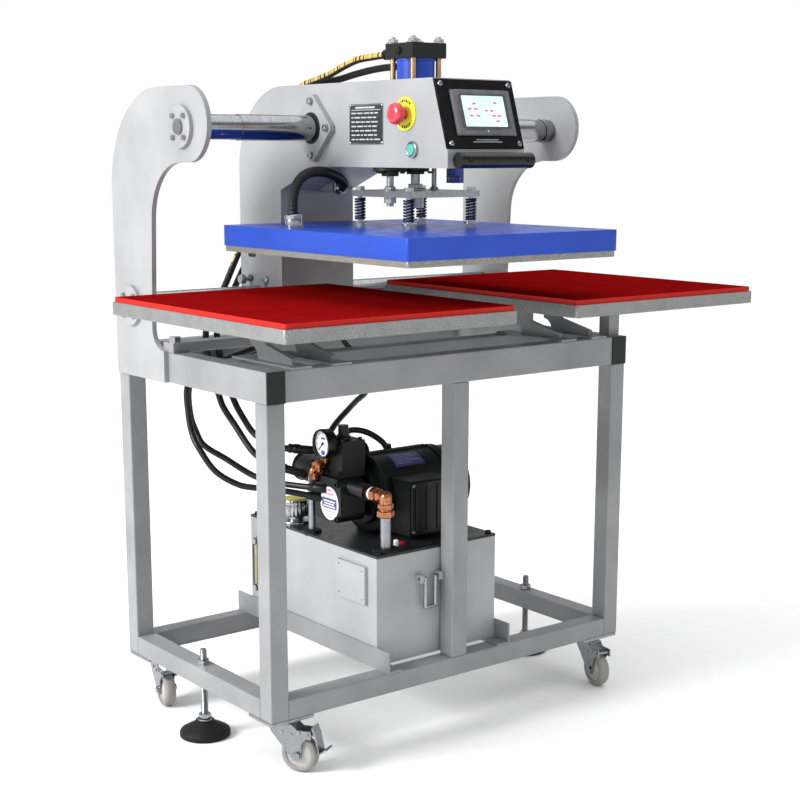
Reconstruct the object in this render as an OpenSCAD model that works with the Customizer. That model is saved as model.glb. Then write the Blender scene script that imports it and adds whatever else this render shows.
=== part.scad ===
// Two-station hydraulic heat press on a wheeled tube frame.
// Millimetres, +Z up, origin on the floor in the middle of the footprint.

/* [Frame] */
// Width over the two side rails
frame_width = 930; // [800:5:1100]
// Depth from front face to rear face
frame_depth = 564; // [500:2:700]
// Side of the square tube
tube = 40; // [34:1:46]
// Height of the top rails
top_rail_height = 60; // [50:1:80]
// Floor to the top of the top rails
frame_top = 786; // [760:1:840]
// Floor to the underside of the bottom rails
low_rail_z = 112; // [110:1:120]
// Front face to the inner cross rail
cross_rail_setback = 170; // [150:2:200]
// Thickness of the plastic end caps
cap_thickness = 3; // [2:0.5:5]
// Width and height of the rear cross bar
cross_bar = [40, 20];
// Front face to the rear cross bar
cross_bar_setback = 335; // [320:1:350]

/* [End plates and shafts] */
// Thickness of an end plate
plate_thickness = 10; // [8:1:16]
// Top of the end plates
plate_top = 1300; // [1270:5:1340]
// Radius of the round nose that holds the upper shaft
plate_nose_radius = 71; // [64:1:80]
// Large outer corner radius
plate_outer_radius = 195; // [160:5:220]
// Inner corner radius
plate_inner_radius = 115; // [90:5:130]
// Front face of the frame to the rear edge of the plates
plate_rear = 550; // [540:1:560]
// Front face of the frame to the front edge of the plate's stem
plate_stem = 388; // [376:1:400]
// Front face of the frame to the front edge of the plate's foot
plate_foot = 355; // [340:1:370]
// Height of the plate's foot
plate_foot_height = 63; // [55:1:75]
// Radius of the guide shafts
shaft_radius = 25; // [20:0.5:30]
// Radius of the turned ends of the shafts
journal_radius = 24; // [18:0.5:24.5]
// Front face of the frame to the upper shaft
shaft_setback = 259; // [250:1:268]
// Height of the upper shaft
shaft_z = 1224; // [1200:2:1240]
// Front face of the frame to the lower shaft
low_shaft_setback = 478; // [468:1:486]
// Height of the lower shaft
low_shaft_z = 871; // [862:1:890]
// Radius of the discs that hold the shaft ends
disc_radius = 40; // [32:1:46]
// Thickness of those discs
disc_thickness = 8; // [5:1:12]

/* [Tables] */
// Width of a table
table_width = 510; // [440:5:540]
// Depth of a table
table_depth = 600; // [540:5:640]
// Thickness of a table
table_thickness = 24; // [16:1:30]
// Floor to the top of a table
table_top = 894; // [880:2:920]
// Middle of the frame to the middle of a table
station = 330; // [300:5:350]
// Middle of a table behind the front face of the frame
station_setback = 55.5; // [40:0.5:70]
// Thickness of the rubber pads
pad_thickness = 9.5; // [6:0.5:14]
// Border of bare table around a pad
pad_inset = 3.5; // [2:0.5:12]
// Corner radius of pads and tables
corner_radius = 5; // [2:0.5:12]
// Thickness of the table brackets
bracket_thickness = 10; // [6:1:14]
// Middle of the frame to the inner and outer brackets
bracket_places = [295, 385];
// Side of the square post under the right table
post = 30; // [24:1:36]

/* [Tank] */
// Left and right sides of the tank
tank_x = [-181, 135];
// Front and rear of the tank behind the front face of the frame
tank_y = [45, 511];
// Height of the tank
tank_height = 224; // [200:2:260]
// Thickness of the lid
lid_thickness = 5; // [3:0.5:8]
// Thickness of the tank's angle rails
angle_thickness = 4; // [3:0.5:6]
// Height of the upright leg of the angle rails
angle_height = 44; // [36:1:54]
// Width of the flat leg of the angle rails
angle_width = 34; // [28:1:46]
// Width of the label plate
label_width = 98; // [80:1:110]
// Height of the label plate
label_height = 79; // [64:1:90]
// Radius of the handle's rod
bail_radius = 4; // [3:0.5:6]

/* [Hydraulic unit] */
// Radius of the motor
motor_radius = 80; // [72:1:86]
// Length of the motor body
motor_length = 168; // [140:2:180]
// Motor axis behind the front face of the frame
motor_setback = 228; // [220:1:236]
// Height of the motor axis over the lid
motor_height = 84; // [82:1:100]
// Side of the square pump body
pump_side = 92; // [84:1:96]
// Left face of the pump to the middle of the frame
pump_reach = 170; // [160:1:176]
// Length of the pump body
pump_length = 62; // [50:1:66]
// Dial radius of the pressure gauge
dial_radius = 30; // [26:0.5:36]
// Radius of the suction pipe
suction_radius = 11; // [9:0.5:14]
// Radius of the return pipe
return_radius = 7.5; // [5:0.5:9]
// Radius of the breather cup
breather_radius = 33; // [26:1:38]

/* [Casters and feet] */
// Wheel radius
wheel_radius = 37.5; // [34:0.5:38]
// Wheel width
wheel_width = 24; // [20:1:30]
// Distance from swivel axis to axle
caster_trail = 40; // [34:1:44]
// Length and depth of a caster's top plate
caster_plate = [100, 84];
// Thickness of a caster's top plate
caster_plate_thickness = 6; // [4:0.5:8]
// Radius of the levelling foot
foot_radius = 52; // [42:1:56]
// Radius of the levelling rod
rod_radius = 7; // [5:0.5:8]

/* [Head] */
// Width of the press head
head_width = 186; // [170:2:210]
// Middle of the head from the middle of the frame
head_x = -76.5; // [-300:0.5:300]
// Underside of the head
head_bottom = 1149; // [1140:1:1160]
// Top of the head
head_top = 1310; // [1296:1:1330]
// Front of the head in front of the frame's front face
head_nose = 154; // [140:1:170]
// Front edge of the head's column behind the front face
column_front = 389; // [380:1:400]
// Rear edge of the head's column behind the front face
column_rear = 549; // [540:1:560]
// Bottom of the column
column_bottom = 822; // [812:1:830]
// Radius of the head's rear top corner
head_corner_radius = 168; // [140:2:200]
// Slope length of the control panel
panel_length = 130; // [120:1:140]
// Lean of the control panel from upright
panel_lean = 17.9; // [10:0.1:24]
// Thickness of the control panel
panel_thickness = 4; // [3:0.5:6]
// Width and height of the screen's bezel
bezel = [140, 85];
// Radius of the grip bar
grip_radius = 14; // [10:0.5:16]
// Grip bar in front of the head
grip_reach = 27; // [24:1:40]
// Side of a bearing flange
flange_side = 100; // [90:1:106]
// Thickness of a bearing flange
flange_thickness = 12; // [8:1:16]
// Radius of the emergency stop's disc
stop_disc_radius = 31; // [26:0.5:34]
// Radius of the emergency stop's mushroom
stop_radius = 20; // [16:0.5:24]
// Radius of the start button's ring
start_ring_radius = 15; // [12:0.5:16]
// How far the emergency stop goes in
stop_travel = 5; // [3:0.5:6]
// How far the start button goes in
start_travel = 3; // [2:0.5:4]

/* [Cylinder and platen] */
// Radius of the hydraulic cylinder
cylinder_radius = 36.5; // [32:0.5:40]
// Height of the cylinder over the head
cylinder_height = 43; // [34:1:60]
// Side of the square cylinder cap
cap_side = 83; // [80:1:90]
// Height of the cylinder cap
cap_height = 28; // [20:1:36]
// Radius of the piston rod
piston_radius = 9; // [7:0.5:12]
// Height of the gap between head and spring plate
ram_gap = 44; // [38:1:50]
// Travel of the ram down to the pads
ram_travel = 78; // [60:1:78]
// Side of the square spring plate
spring_plate = 178; // [172:1:190]
// Thickness of the spring plate
spring_plate_thickness = 12; // [8:1:16]
// Middle of the plate to a spring, both ways
spring_offset = 77; // [72:1:80]
// Outer radius of the springs
spring_radius = 11.5; // [10:0.5:13]
// Radius of the spring wire
spring_wire = 1.5; // [1.2:0.1:1.8]
// Turns of each spring
spring_turns = 8; // [6:1:9]
// Radius of the spring bolts
spring_bolt_radius = 5; // [4:0.5:6]
// Height of the platen's cover
cover_height = 40; // [34:1:44]
// Thickness of the heated plate
heat_thickness = 11.5; // [8:0.5:12]
// Border of the cover around the heated plate
heat_inset = 2.3; // [1:0.1:6]
// Height of the underside of the heated plate over the pads
platen_gap = 78.5; // [78.2:0.1:84]
// Radius of the conduit
conduit_radius = 10; // [8:0.5:11]
// Ribs on the conduit
conduit_ribs = 54; // [30:1:70]

/* [Hidden] */
$fn = 48;

// Clearances and small common sizes
running = 0.05;
loose = 0.3;
cut = 1;
screw_head = 5;
screw_height = 5;

// Places worked out from the sizes above
front_overhang = table_depth / 2 - station_setback;
front_y = (front_overhang - frame_depth - cap_thickness) / 2;
rear_y = front_y + frame_depth;
half_w = frame_width / 2;
low_top = low_rail_z + tube;
top_under = frame_top - top_rail_height;
station_y = front_y + station_setback;
shaft_y = front_y + shaft_setback;
low_shaft_y = front_y + low_shaft_setback;
table_under = table_top - table_thickness;
pad_top = table_top + pad_thickness;
heat_under = pad_top + platen_gap;
cover_under = heat_under + heat_thickness;
cover_top = cover_under + cover_height;
ram_top = head_bottom - ram_gap;
ram_under = ram_top - spring_plate_thickness;
head_left = head_x - head_width / 2;
head_right = head_x + head_width / 2;
lid_under = low_top + angle_thickness + tank_height;
lid_top = lid_under + lid_thickness;
motor_y = front_y + motor_setback;
motor_z = lid_top + motor_height;
plate_outer = half_w + plate_thickness;

module block(lo, hi) {
    translate(lo) cube(hi - lo);
}

module rod_x(x0, x1, y, z, r) {
    translate([x0, y, z]) rotate([0, 90, 0]) cylinder(h = x1 - x0, r = r);
}

module rod_y(x, y0, y1, z, r) {
    translate([x, y0, z]) rotate([-90, 0, 0]) cylinder(h = y1 - y0, r = r);
}

module rod_z(x, y, z0, z1, r) {
    translate([x, y, z0]) cylinder(h = z1 - z0, r = r);
}

module hex_z(x, y, z0, z1, across) {
    translate([x, y, z0]) cylinder(h = z1 - z0, d = across / cos(30), $fn = 6);
}

module in_yz(x0, x1) {
    translate([x0, 0, 0]) rotate([90, 0, 90]) linear_extrude(height = x1 - x0) children();
}

module round_rect(wide, deep, r) {
    square([wide - 2 * r, deep], center = true);
    square([wide, deep - 2 * r], center = true);
    for (sx = [-1, 1], sy = [-1, 1])
        translate([sx * (wide / 2 - r), sy * (deep / 2 - r)]) circle(r = r);
}

module round_plate(x, y, z0, z1, wide, deep, r) {
    translate([x, y, z0]) linear_extrude(height = z1 - z0) round_rect(wide, deep, r);
}

// Frame
module legs() {
    color([0.70, 0.71, 0.73])
    union() {
        for (sx = [-1, 1], y = [front_y, rear_y - tube])
            block([sx * (half_w - tube / 2) - tube / 2, y, low_rail_z],
                [sx * (half_w - tube / 2) + tube / 2, y + tube, top_under]);
        block([-tube / 2, front_y, low_top], [tube / 2, front_y + tube, top_under]);
    }
}

module top_rails() {
    color([0.72, 0.73, 0.75])
    union() {
        for (sx = [-1, 1])
            block([sx * (half_w - tube / 2) - tube / 2, front_y, top_under],
                [sx * (half_w - tube / 2) + tube / 2, rear_y, frame_top]);
        for (y = [front_y, front_y + cross_rail_setback, rear_y - tube])
            block([tube - half_w, y, top_under], [half_w - tube, y + tube, frame_top]);
    }
}

foot_y = front_y + frame_depth / 2;
foot_x = half_w - tube / 2;

module lower_rails() {
    color([0.70, 0.71, 0.73])
    difference() {
        union() {
            for (y = [front_y, rear_y - tube])
                block([tube - half_w, y, low_rail_z], [half_w - tube, y + tube, low_top]);
            for (sx = [-1, 1])
                block([sx * foot_x - tube / 2, front_y + tube, low_rail_z],
                    [sx * foot_x + tube / 2, rear_y - tube, low_top]);
        }
        for (sx = [-1, 1])
            rod_z(sx * foot_x, foot_y, low_rail_z - cut, low_top + cut, rod_radius + loose);
    }
}

module tube_caps() {
    color([0.08, 0.08, 0.08])
    for (sx = [-1, 1]) {
        block([sx * foot_x - tube / 2, front_y - cap_thickness, top_under],
            [sx * foot_x + tube / 2, front_y, frame_top]);
        block([sx * foot_x - tube / 2, rear_y, top_under],
            [sx * foot_x + tube / 2, rear_y + cap_thickness, frame_top]);
    }
}

// End plates: a foot, a stem, a big rounded corner and a nose round the upper shaft
nose_lead = 19;
nose_y = shaft_y - nose_lead;
nose_z = plate_top - plate_nose_radius;
arm_under = plate_top - 2 * plate_nose_radius;
plate_rear_y = front_y + plate_rear;
plate_stem_y = front_y + plate_stem;
plate_foot_y = front_y + plate_foot;
outer_y = plate_rear_y - plate_outer_radius;
outer_z = plate_top - plate_outer_radius;
inner_y = plate_stem_y - plate_inner_radius;
inner_z = arm_under - plate_inner_radius;
foot_fillet = 44;
foot_top = top_under + plate_foot_height;
stem_low_y = plate_foot_y + foot_fillet;

module end_plate_outline() {
    difference() {
        union() {
            translate([plate_foot_y, top_under])
                square([plate_rear_y - plate_foot_y, plate_foot_height]);
            polygon([[stem_low_y, foot_top - cut], [plate_rear_y, foot_top - cut],
                [plate_rear_y, inner_z + cut], [plate_stem_y, inner_z + cut],
                [plate_stem_y, inner_z], [stem_low_y, foot_top + foot_fillet]]);
            difference() {
                translate([plate_foot_y, foot_top - cut])
                    square([foot_fillet + cut, foot_fillet + cut]);
                translate([plate_foot_y, foot_top + foot_fillet]) circle(r = foot_fillet);
            }
            difference() {
                union() {
                    translate([inner_y, inner_z])
                        square([outer_y - inner_y, plate_top - inner_z]);
                    translate([outer_y - cut, inner_z])
                        square([plate_outer_radius + cut, outer_z - inner_z]);
                    intersection() {
                        translate([outer_y, outer_z]) circle(r = plate_outer_radius, $fn = 96);
                        translate([outer_y - cut, outer_z - cut])
                            square([plate_outer_radius + 2 * cut, plate_outer_radius + 2 * cut]);
                    }
                }
                translate([inner_y, inner_z]) circle(r = plate_inner_radius, $fn = 96);
            }
            translate([nose_y, arm_under])
                square([inner_y - nose_y + cut, 2 * plate_nose_radius]);
            translate([nose_y, nose_z]) circle(r = plate_nose_radius);
        }
        translate([shaft_y, shaft_z]) circle(r = journal_radius + loose);
        translate([low_shaft_y, low_shaft_z]) circle(r = journal_radius + loose);
    }
}

module end_plates() {
    color([0.66, 0.67, 0.69]) {
        in_yz(half_w, plate_outer) end_plate_outline();
        in_yz(-plate_outer, -half_w) end_plate_outline();
    }
}

tip_radius = journal_radius * 0.6;
tip_length = disc_thickness + 5;

module shaft_disc(x0, y, z) {
    difference() {
        rod_x(x0, x0 + disc_thickness, y, z, disc_radius);
        rod_x(x0 - cut, x0 + disc_thickness + cut, y, z, tip_radius + loose);
    }
}

module shaft_discs() {
    color([0.14, 0.14, 0.15])
    for (p = [[shaft_y, shaft_z], [low_shaft_y, low_shaft_z]]) {
        shaft_disc(plate_outer, p[0], p[1]);
        shaft_disc(-plate_outer - disc_thickness, p[0], p[1]);
    }
}

nut_across = 22;
nut_height = 11;
bar_bolt_inset = 16;

module frame_fasteners() {
    color([0.75, 0.76, 0.78]) {
        for (p = [[shaft_y, shaft_z], [low_shaft_y, low_shaft_z]], sx = [-1, 1], a = [45 : 90 : 315])
            rod_x(sx * (plate_outer + disc_thickness + screw_height / 2) - screw_height / 2,
                sx * (plate_outer + disc_thickness + screw_height / 2) + screw_height / 2,
                p[0] + (disc_radius - 2 * screw_head) * cos(a) * 0.95,
                p[1] + (disc_radius - 2 * screw_head) * sin(a) * 0.95, screw_head);
        for (sx = [-1, 1])
            hex_z(sx * (half_w - bar_bolt_inset), front_y + cross_bar_setback + cross_bar[0] / 2,
                frame_top + cross_bar[1], frame_top + cross_bar[1] + nut_height, nut_across);
        for (sx = [-1, 1])
            difference() {
                hex_z(sx * foot_x, foot_y, low_top, low_top + nut_height, nut_across);
                rod_z(sx * foot_x, foot_y, low_top - cut, low_top + nut_height + cut,
                    rod_radius + loose);
            }
    }
}

shaft_step_left = 355;
shaft_step_right = 415;

module guide_shafts() {
    color([0.82, 0.83, 0.85]) {
        union() {
            rod_x(-shaft_step_left, shaft_step_right, shaft_y, shaft_z, shaft_radius);
            rod_x(-plate_outer, plate_outer, shaft_y, shaft_z, journal_radius);
            rod_x(-plate_outer - tip_length, plate_outer + tip_length, shaft_y, shaft_z, tip_radius);
        }
        union() {
            rod_x(cut - half_w, half_w - cut, low_shaft_y, low_shaft_z, shaft_radius);
            rod_x(-plate_outer, plate_outer, low_shaft_y, low_shaft_z, journal_radius);
            rod_x(-plate_outer - tip_length, plate_outer + tip_length, low_shaft_y, low_shaft_z,
                tip_radius);
        }
    }
}

// Tables
module tables() {
    color([0.78, 0.79, 0.81])
    for (sx = [-1, 1])
        round_plate(sx * station, station_y, table_under, table_top, table_width, table_depth,
            corner_radius);
}

module table_pads() {
    color([0.60, 0.06, 0.05])
    for (sx = [-1, 1])
        round_plate(sx * station, station_y, table_top, pad_top, table_width - 2 * pad_inset,
            table_depth - 2 * pad_inset, corner_radius);
}

strip_width = 44;
strip_thickness = 4;
strip_top = frame_top + strip_thickness;
bracket_span = table_under - strip_top;
bracket_toe = 27;
bracket_heel = 143;
bracket_neck = 26;

module bracket_outline() {
    y0 = front_y + bracket_toe;
    y1 = front_y + bracket_heel;
    h = bracket_span;
    difference() {
        polygon([[y0, strip_top], [y1 + bracket_neck, strip_top], [y1 + bracket_neck, strip_top + h * 0.4],
            [y1 + 2 * bracket_neck, table_under], [y1 - bracket_neck, table_under],
            [y1 - bracket_neck, strip_top + h * 0.38], [y0, strip_top + h * 0.14]]);
        translate([y1 + bracket_neck, strip_top]) circle(r = bracket_neck);
    }
}

module table_brackets() {
    color([0.70, 0.71, 0.73]) {
        for (sx = [-1, 1], b = bracket_places) {
            union() {
                block([sx * b - strip_width / 2, front_y, frame_top],
                    [sx * b + strip_width / 2, front_y + cross_rail_setback + tube, strip_top]);
                in_yz(sx * b - bracket_thickness / 2, sx * b + bracket_thickness / 2)
                    bracket_outline();
            }
        }
        block([half_w - post, front_y + tube / 2, frame_top],
            [half_w, front_y + tube / 2 + post, table_under]);
    }
}

module cross_member() {
    color([0.70, 0.71, 0.73])
    block([-half_w, front_y + cross_bar_setback, frame_top],
        [half_w, front_y + cross_bar_setback + cross_bar[0], frame_top + cross_bar[1]]);
}

// Tank on its two angle rails
tank_y0 = front_y + tank_y[0];
tank_y1 = front_y + tank_y[1];
tank_under = low_top + angle_thickness;
label_proud = 8;
label_setback = 124;
label_lift = 162;

// Bail handle on the front of the tank, with its two ears
bail_x = -52;
bail_half = 17;
bail_drop = 62;
bail_z = 324;
bail_gap = 12;

module bail_ears() {
    for (sx = [-1, 1])
        difference() {
            block([bail_x + sx * (bail_half + 8) - 5, tank_y0 - bail_gap - 6, bail_z - 8],
                [bail_x + sx * (bail_half + 8) + 5, tank_y0, bail_z + 8]);
            rod_x(bail_x + sx * (bail_half + 8) - 6, bail_x + sx * (bail_half + 8) + 6,
                tank_y0 - bail_gap, bail_z, bail_radius + loose);
        }
}

module tank_body() {
    color([0.80, 0.81, 0.83]) {
        union() {
            block([tank_x[0], tank_y0, tank_under], [tank_x[1], tank_y1, lid_under]);
            bail_ears();
            difference() {
                block([tank_x[0] - label_proud, front_y + label_setback - label_width / 2,
                    tank_under + label_lift - label_height / 2],
                    [tank_x[0], front_y + label_setback + label_width / 2,
                    tank_under + label_lift + label_height / 2]);
                block([tank_x[0] - label_proud + angle_thickness / 2,
                    front_y + label_setback - label_width / 2 + label_proud,
                    tank_under + label_lift - label_height / 2 - cut],
                    [tank_x[0] - cut, front_y + label_setback + label_width / 2 - label_proud,
                    tank_under + label_lift + label_height / 2 + cut]);
            }
        }
    }
}

suction_x = -137.7;
suction_setback = 71.5;
return_x = -165;
return_setback = 293;
breather_x = -140;
breather_setback = 392;
lid_screw_inset = 11;

module tank_lid() {
    color([0.16, 0.16, 0.17])
    union() {
        block([tank_x[0], tank_y0, lid_under], [tank_x[1], tank_y1, lid_top]);
        rod_z(suction_x, front_y + suction_setback, lid_under, lid_top + lid_thickness, suction_radius + 17);
        rod_z(return_x, front_y + return_setback, lid_under, lid_top + lid_thickness,
            return_radius + 11);
        for (x = [tank_x[0] + lid_screw_inset, tank_x[1] - lid_screw_inset],
            y = [tank_y0 + lid_screw_inset, (tank_y0 + tank_y1) / 2, tank_y1 - lid_screw_inset])
            rod_z(x, y, lid_under, lid_top + screw_height, screw_head);
    }
}

module angle_rail(x_out, way) {
    x_in = x_out + way * angle_thickness;
    x_flat = x_out + way * angle_width;
    translate([0, rear_y, 0]) rotate([90, 0, 0]) linear_extrude(height = frame_depth)
        polygon([[x_out, low_top], [x_flat, low_top], [x_flat, tank_under], [x_in, tank_under],
            [x_in, low_top + angle_height], [x_out, low_top + angle_height]]);
}

module tank_angles() {
    color([0.72, 0.73, 0.75]) {
        angle_rail(tank_x[0] - angle_thickness, 1);
        angle_rail(tank_x[1] + angle_thickness, -1);
    }
}

gauge_slot_width = 29;
gauge_slot_height = 124;
gauge_slot_lift = 121;
gauge_slot_inset = 31;
gauge_slot_proud = 7;

module level_gauge() {
    y = tank_y1 - gauge_slot_inset;
    z = tank_under + gauge_slot_lift;
    r = gauge_slot_width / 2;
    color([0.10, 0.10, 0.11])
    in_yz(tank_x[0] - gauge_slot_proud, tank_x[0])
        difference() {
            union() {
                translate([y - r, z - gauge_slot_height / 2 + r])
                    square([gauge_slot_width, gauge_slot_height - gauge_slot_width]);
                for (s = [-1, 1])
                    translate([y, z + s * (gauge_slot_height / 2 - r)]) circle(r = r);
            }
            translate([y - r / 2.5, z - gauge_slot_height / 4])
                square([r / 1.25, gauge_slot_height / 2]);
        }
}

module tank_handle() {
    color([0.82, 0.83, 0.85])
    union() {
        rod_x(bail_x - bail_half - 12, bail_x - bail_half + bail_radius, tank_y0 - bail_gap, bail_z, bail_radius);
        rod_x(bail_x + bail_half - bail_radius, bail_x + bail_half + 12, tank_y0 - bail_gap, bail_z, bail_radius);
        for (sx = [-1, 1])
            rod_z(bail_x + sx * (bail_half - bail_radius), tank_y0 - bail_gap, bail_z - bail_drop, bail_z, bail_radius);
        rod_x(bail_x - bail_half + bail_radius, bail_x + bail_half - bail_radius, tank_y0 - bail_gap,
            bail_z - bail_drop, bail_radius);
        for (sx = [-1, 1]) {
            translate([bail_x + sx * (bail_half - bail_radius), tank_y0 - bail_gap, bail_z - bail_drop])
                sphere(r = bail_radius);
            translate([bail_x + sx * (bail_half - bail_radius), tank_y0 - bail_gap, bail_z])
                sphere(r = bail_radius);
        }
    }
}

// Pipes on the lid
return_rise = 135;
suction_rise = 71;
elbow_rise = 40;
return_bend = 16;
return_top = lid_top + return_rise;
suction_top = lid_top + suction_rise;

module pipes() {
    ry = front_y + return_setback;
    color([0.74, 0.75, 0.77]) {
        union() {
            rod_z(return_x, ry, lid_top + lid_thickness, return_top - return_bend, return_radius);
            translate([return_x + return_bend, ry, return_top - return_bend])
                rotate([90, 0, 0]) rotate([0, 0, 90]) rotate_extrude(angle = 90)
                    translate([return_bend, 0]) circle(r = return_radius);
            rod_x(return_x + return_bend, return_x + return_bend + 4, ry, return_top, return_radius);
        }
        rod_z(suction_x, front_y + suction_setback, lid_top + lid_thickness, suction_top,
            suction_radius);
    }
}

elbow_radius = 13;
elbow_z = suction_top + elbow_rise;
port_reach = 52;

module copper_fittings() {
    sy = front_y + suction_setback;
    ry = front_y + return_setback;
    color([0.72, 0.42, 0.28]) {
        union() {
            rod_z(suction_x, sy, suction_top, elbow_z, elbow_radius);
            translate([suction_x, sy, elbow_z]) sphere(r = elbow_radius);
            rod_y(suction_x, sy, motor_y - pump_side / 2 - port_reach, elbow_z, elbow_radius - 2);
        }
        union() {
            rod_x(return_x + return_bend + 4, barrel_x, ry, return_top, return_radius + 2);
            translate([barrel_x, ry, return_top]) sphere(r = return_radius + 2);
            rod_y(barrel_x, ry, barrel_y0 - loose, return_top, return_radius + 2);
        }
    }
}

breather_neck = breather_radius * 0.55;

module breather_body() {
    by = front_y + breather_setback;
    color([0.55, 0.56, 0.58])
    union() {
        rod_z(breather_x, by, lid_top, lid_top + 5, breather_radius);
        rod_z(breather_x, by, lid_top, lid_top + 16, breather_neck);
        rod_z(breather_x, by, lid_top + 14, lid_top + 42, breather_radius - 4);
    }
}

module breather_cap() {
    by = front_y + breather_setback;
    color([0.85, 0.78, 0.12])
    rod_z(breather_x, by, lid_top + 42 + loose, lid_top + 54, breather_radius - 1);
}

// Pump, motor and valves
pump_x0 = -pump_reach;
pump_x1 = pump_x0 + pump_length;
bell_x1 = pump_x1 + 42;
motor_x1 = bell_x1 + motor_length;
fan_x1 = motor_x1 + 52;
pump_corner = pump_side * 0.18;
box_wall_y = motor_y - motor_radius - 54;

module pump_body() {
    color([0.07, 0.07, 0.08])
    union() {
        in_yz(pump_x0, pump_x1)
            translate([motor_y, motor_z]) round_rect(pump_side, pump_side, pump_corner);
        rod_x(pump_x1 - cut, pump_x1 + 16, motor_y, motor_z, pump_side * 0.42);
        rod_y(suction_x, motor_y - pump_side / 2 - port_reach, motor_y, elbow_z, elbow_radius + 4);
        for (k = [3, 4]) hose_stub(k, pump_stub);
    }
}

module motor_body() {
    color([0.06, 0.06, 0.07])
    union() {
        rod_x(pump_x1 + 16, bell_x1, motor_y, motor_z, motor_radius * 0.8);
        rod_x(bell_x1 - 10, motor_x1, motor_y, motor_z, motor_radius);
        block([bell_x1 + 8, box_wall_y, motor_z - motor_radius * 0.9],
            [bell_x1 + 120, motor_y, motor_z + motor_radius * 0.55]);
        for (x = [bell_x1 + 12, motor_x1 - 34])
            block([x, motor_y - motor_radius * 0.7, lid_top], [x + 26, motor_y + motor_radius * 0.7, motor_z]);
        rod_z(hose_end(2)[0], hose_end(2)[1] + front_y, motor_z, hose_end(2)[2], hose_boss);
    }
}

fan_wall = 3;

module fan_cover() {
    color([0.07, 0.07, 0.08])
    difference() {
        rod_x(motor_x1, fan_x1, motor_y, motor_z, motor_radius - 2);
        rod_x(motor_x1 - cut, fan_x1 - fan_wall, motor_y, motor_z, motor_radius - 2 - fan_wall);
        for (a = [0 : 45 : 315])
            rod_x(fan_x1 - fan_wall - cut, fan_x1 + cut, motor_y + motor_radius * 0.5 * cos(a),
                motor_z + motor_radius * 0.5 * sin(a), motor_radius * 0.12);
    }
}

module motor_fan() {
    color([0.35, 0.36, 0.38])
    union() {
        rod_x(motor_x1 + loose, motor_x1 + fan_hub_reach, motor_y, motor_z, fan_hub_radius);
        for (a = [0 : 60 : 300])
            translate([motor_x1 + 10, motor_y, motor_z]) rotate([a, 0, 0])
                translate([0, -2, 0]) cube([24, 4, motor_radius * 0.78]);
    }
}

valve_wide = 59;
valve_deep = 60;
valve_high = 76;
valve_x0 = pump_x0 + 16;
valve_x1 = valve_x0 + valve_wide;
valve_z0 = motor_z + pump_side / 2;
valve_z1 = valve_z0 + valve_high;
valve_rear_y = motor_y + valve_deep / 2;
solenoid_radius = 22;
solenoid_length = 18;
barrel_radius = 30;
barrel_x = valve_x0 + 24;
barrel_y0 = front_y + return_setback + return_radius + 5;
barrel_y1 = barrel_y0 + 70;
barrel_z = valve_z0 - 4;
knob_x = valve_x1 - 34;
knob_base = 8;

module valve_block() {
    vy = motor_y - valve_deep / 2;
    color([0.08, 0.08, 0.09])
    union() {
        block([valve_x0, vy, valve_z0], [valve_x1, valve_rear_y, valve_z1]);
        rod_x(valve_x1 - cut, valve_x1 + solenoid_length, motor_y, valve_z0 + valve_high * 0.58,
            solenoid_radius);
        block([barrel_x - 18, valve_rear_y - cut, barrel_z + barrel_radius - 9],
            [barrel_x + 18, barrel_y0 + 6, barrel_z + barrel_radius + 9]);
        rod_y(barrel_x, barrel_y0, barrel_y1, barrel_z, barrel_radius);
        rod_z(knob_x, motor_y, valve_z1 - cut, valve_z1 + knob_base, 14);
        for (p = [hose_end(5), hose_routes[2][0]])
            rod_y(p[0], valve_rear_y - cut, p[1] + front_y, p[2], hose_boss);
        hose_stub(0, barrel_stub);
        hose_stub(1, top_stub);
        rod_z(barrel_x, hose_end(1)[1] - barrel_offset + front_y, barrel_z, hose_end(1)[2] - 2,
            hose_boss);
    }
}

module relief_knob() {
    color([0.10, 0.10, 0.11])
    rod_z(knob_x, motor_y, valve_z1 + knob_base + loose, valve_z1 + knob_base + 22, 11);
}

case_depth = 22;
case_stem = 3;
dial_x = valve_x0 - case_stem - case_depth;
dial_y = motor_y + 10;
dial_z = valve_z0 + 70;
dial_rim = 3;

module gauge_case() {
    color([0.16, 0.16, 0.17])
    difference() {
        union() {
            rod_x(dial_x, dial_x + case_depth, dial_y, dial_z, dial_radius);
            rod_x(dial_x + case_depth - cut, valve_x0, dial_y, dial_z - 2 * dial_rim, 2 * dial_rim);
        }
        rod_x(dial_x - cut, dial_x + 2 * dial_rim, dial_y, dial_z, dial_radius - dial_rim);
    }
}

module gauge_needle() {
    color([0.75, 0.10, 0.08])
    union() {
        rod_x(dial_x + 3, dial_x + 5.7, dial_y, dial_z, 3);
        translate([dial_x + 4, dial_y, dial_z]) rotate([-135, 0, 0])
            translate([-0.5, -0.8, 0]) cube([1, 1.6, dial_radius * 0.7]);
    }
}

// Casters
fork_radius = 24;
fork_plate = 2.5;
fork_top = low_rail_z - caster_plate_thickness - 8;
fork_in = wheel_width / 2 + 2;
hub_radius = 6;

module place_caster(x, y, turn) {
    translate([x, y, 0]) rotate([0, 0, turn]) children();
}

caster_x = half_w - caster_plate[0] / 2;
caster_front = front_y + caster_plate[1] / 2;
caster_rear = rear_y - caster_plate[1] / 2;
front_left_turn = -59;
other_turn = -101;

module caster_plates() {
    color([0.72, 0.73, 0.75])
    for (sx = [-1, 1], y = [caster_front, caster_rear])
        union() {
            translate([sx * caster_x, y, low_rail_z - caster_plate_thickness])
                linear_extrude(height = caster_plate_thickness)
                    round_rect(caster_plate[0], caster_plate[1], corner_radius);
            rod_z(sx * caster_x, y, fork_top + loose, low_rail_z - caster_plate_thickness + cut,
                fork_radius * 0.8);
        }
}

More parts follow.
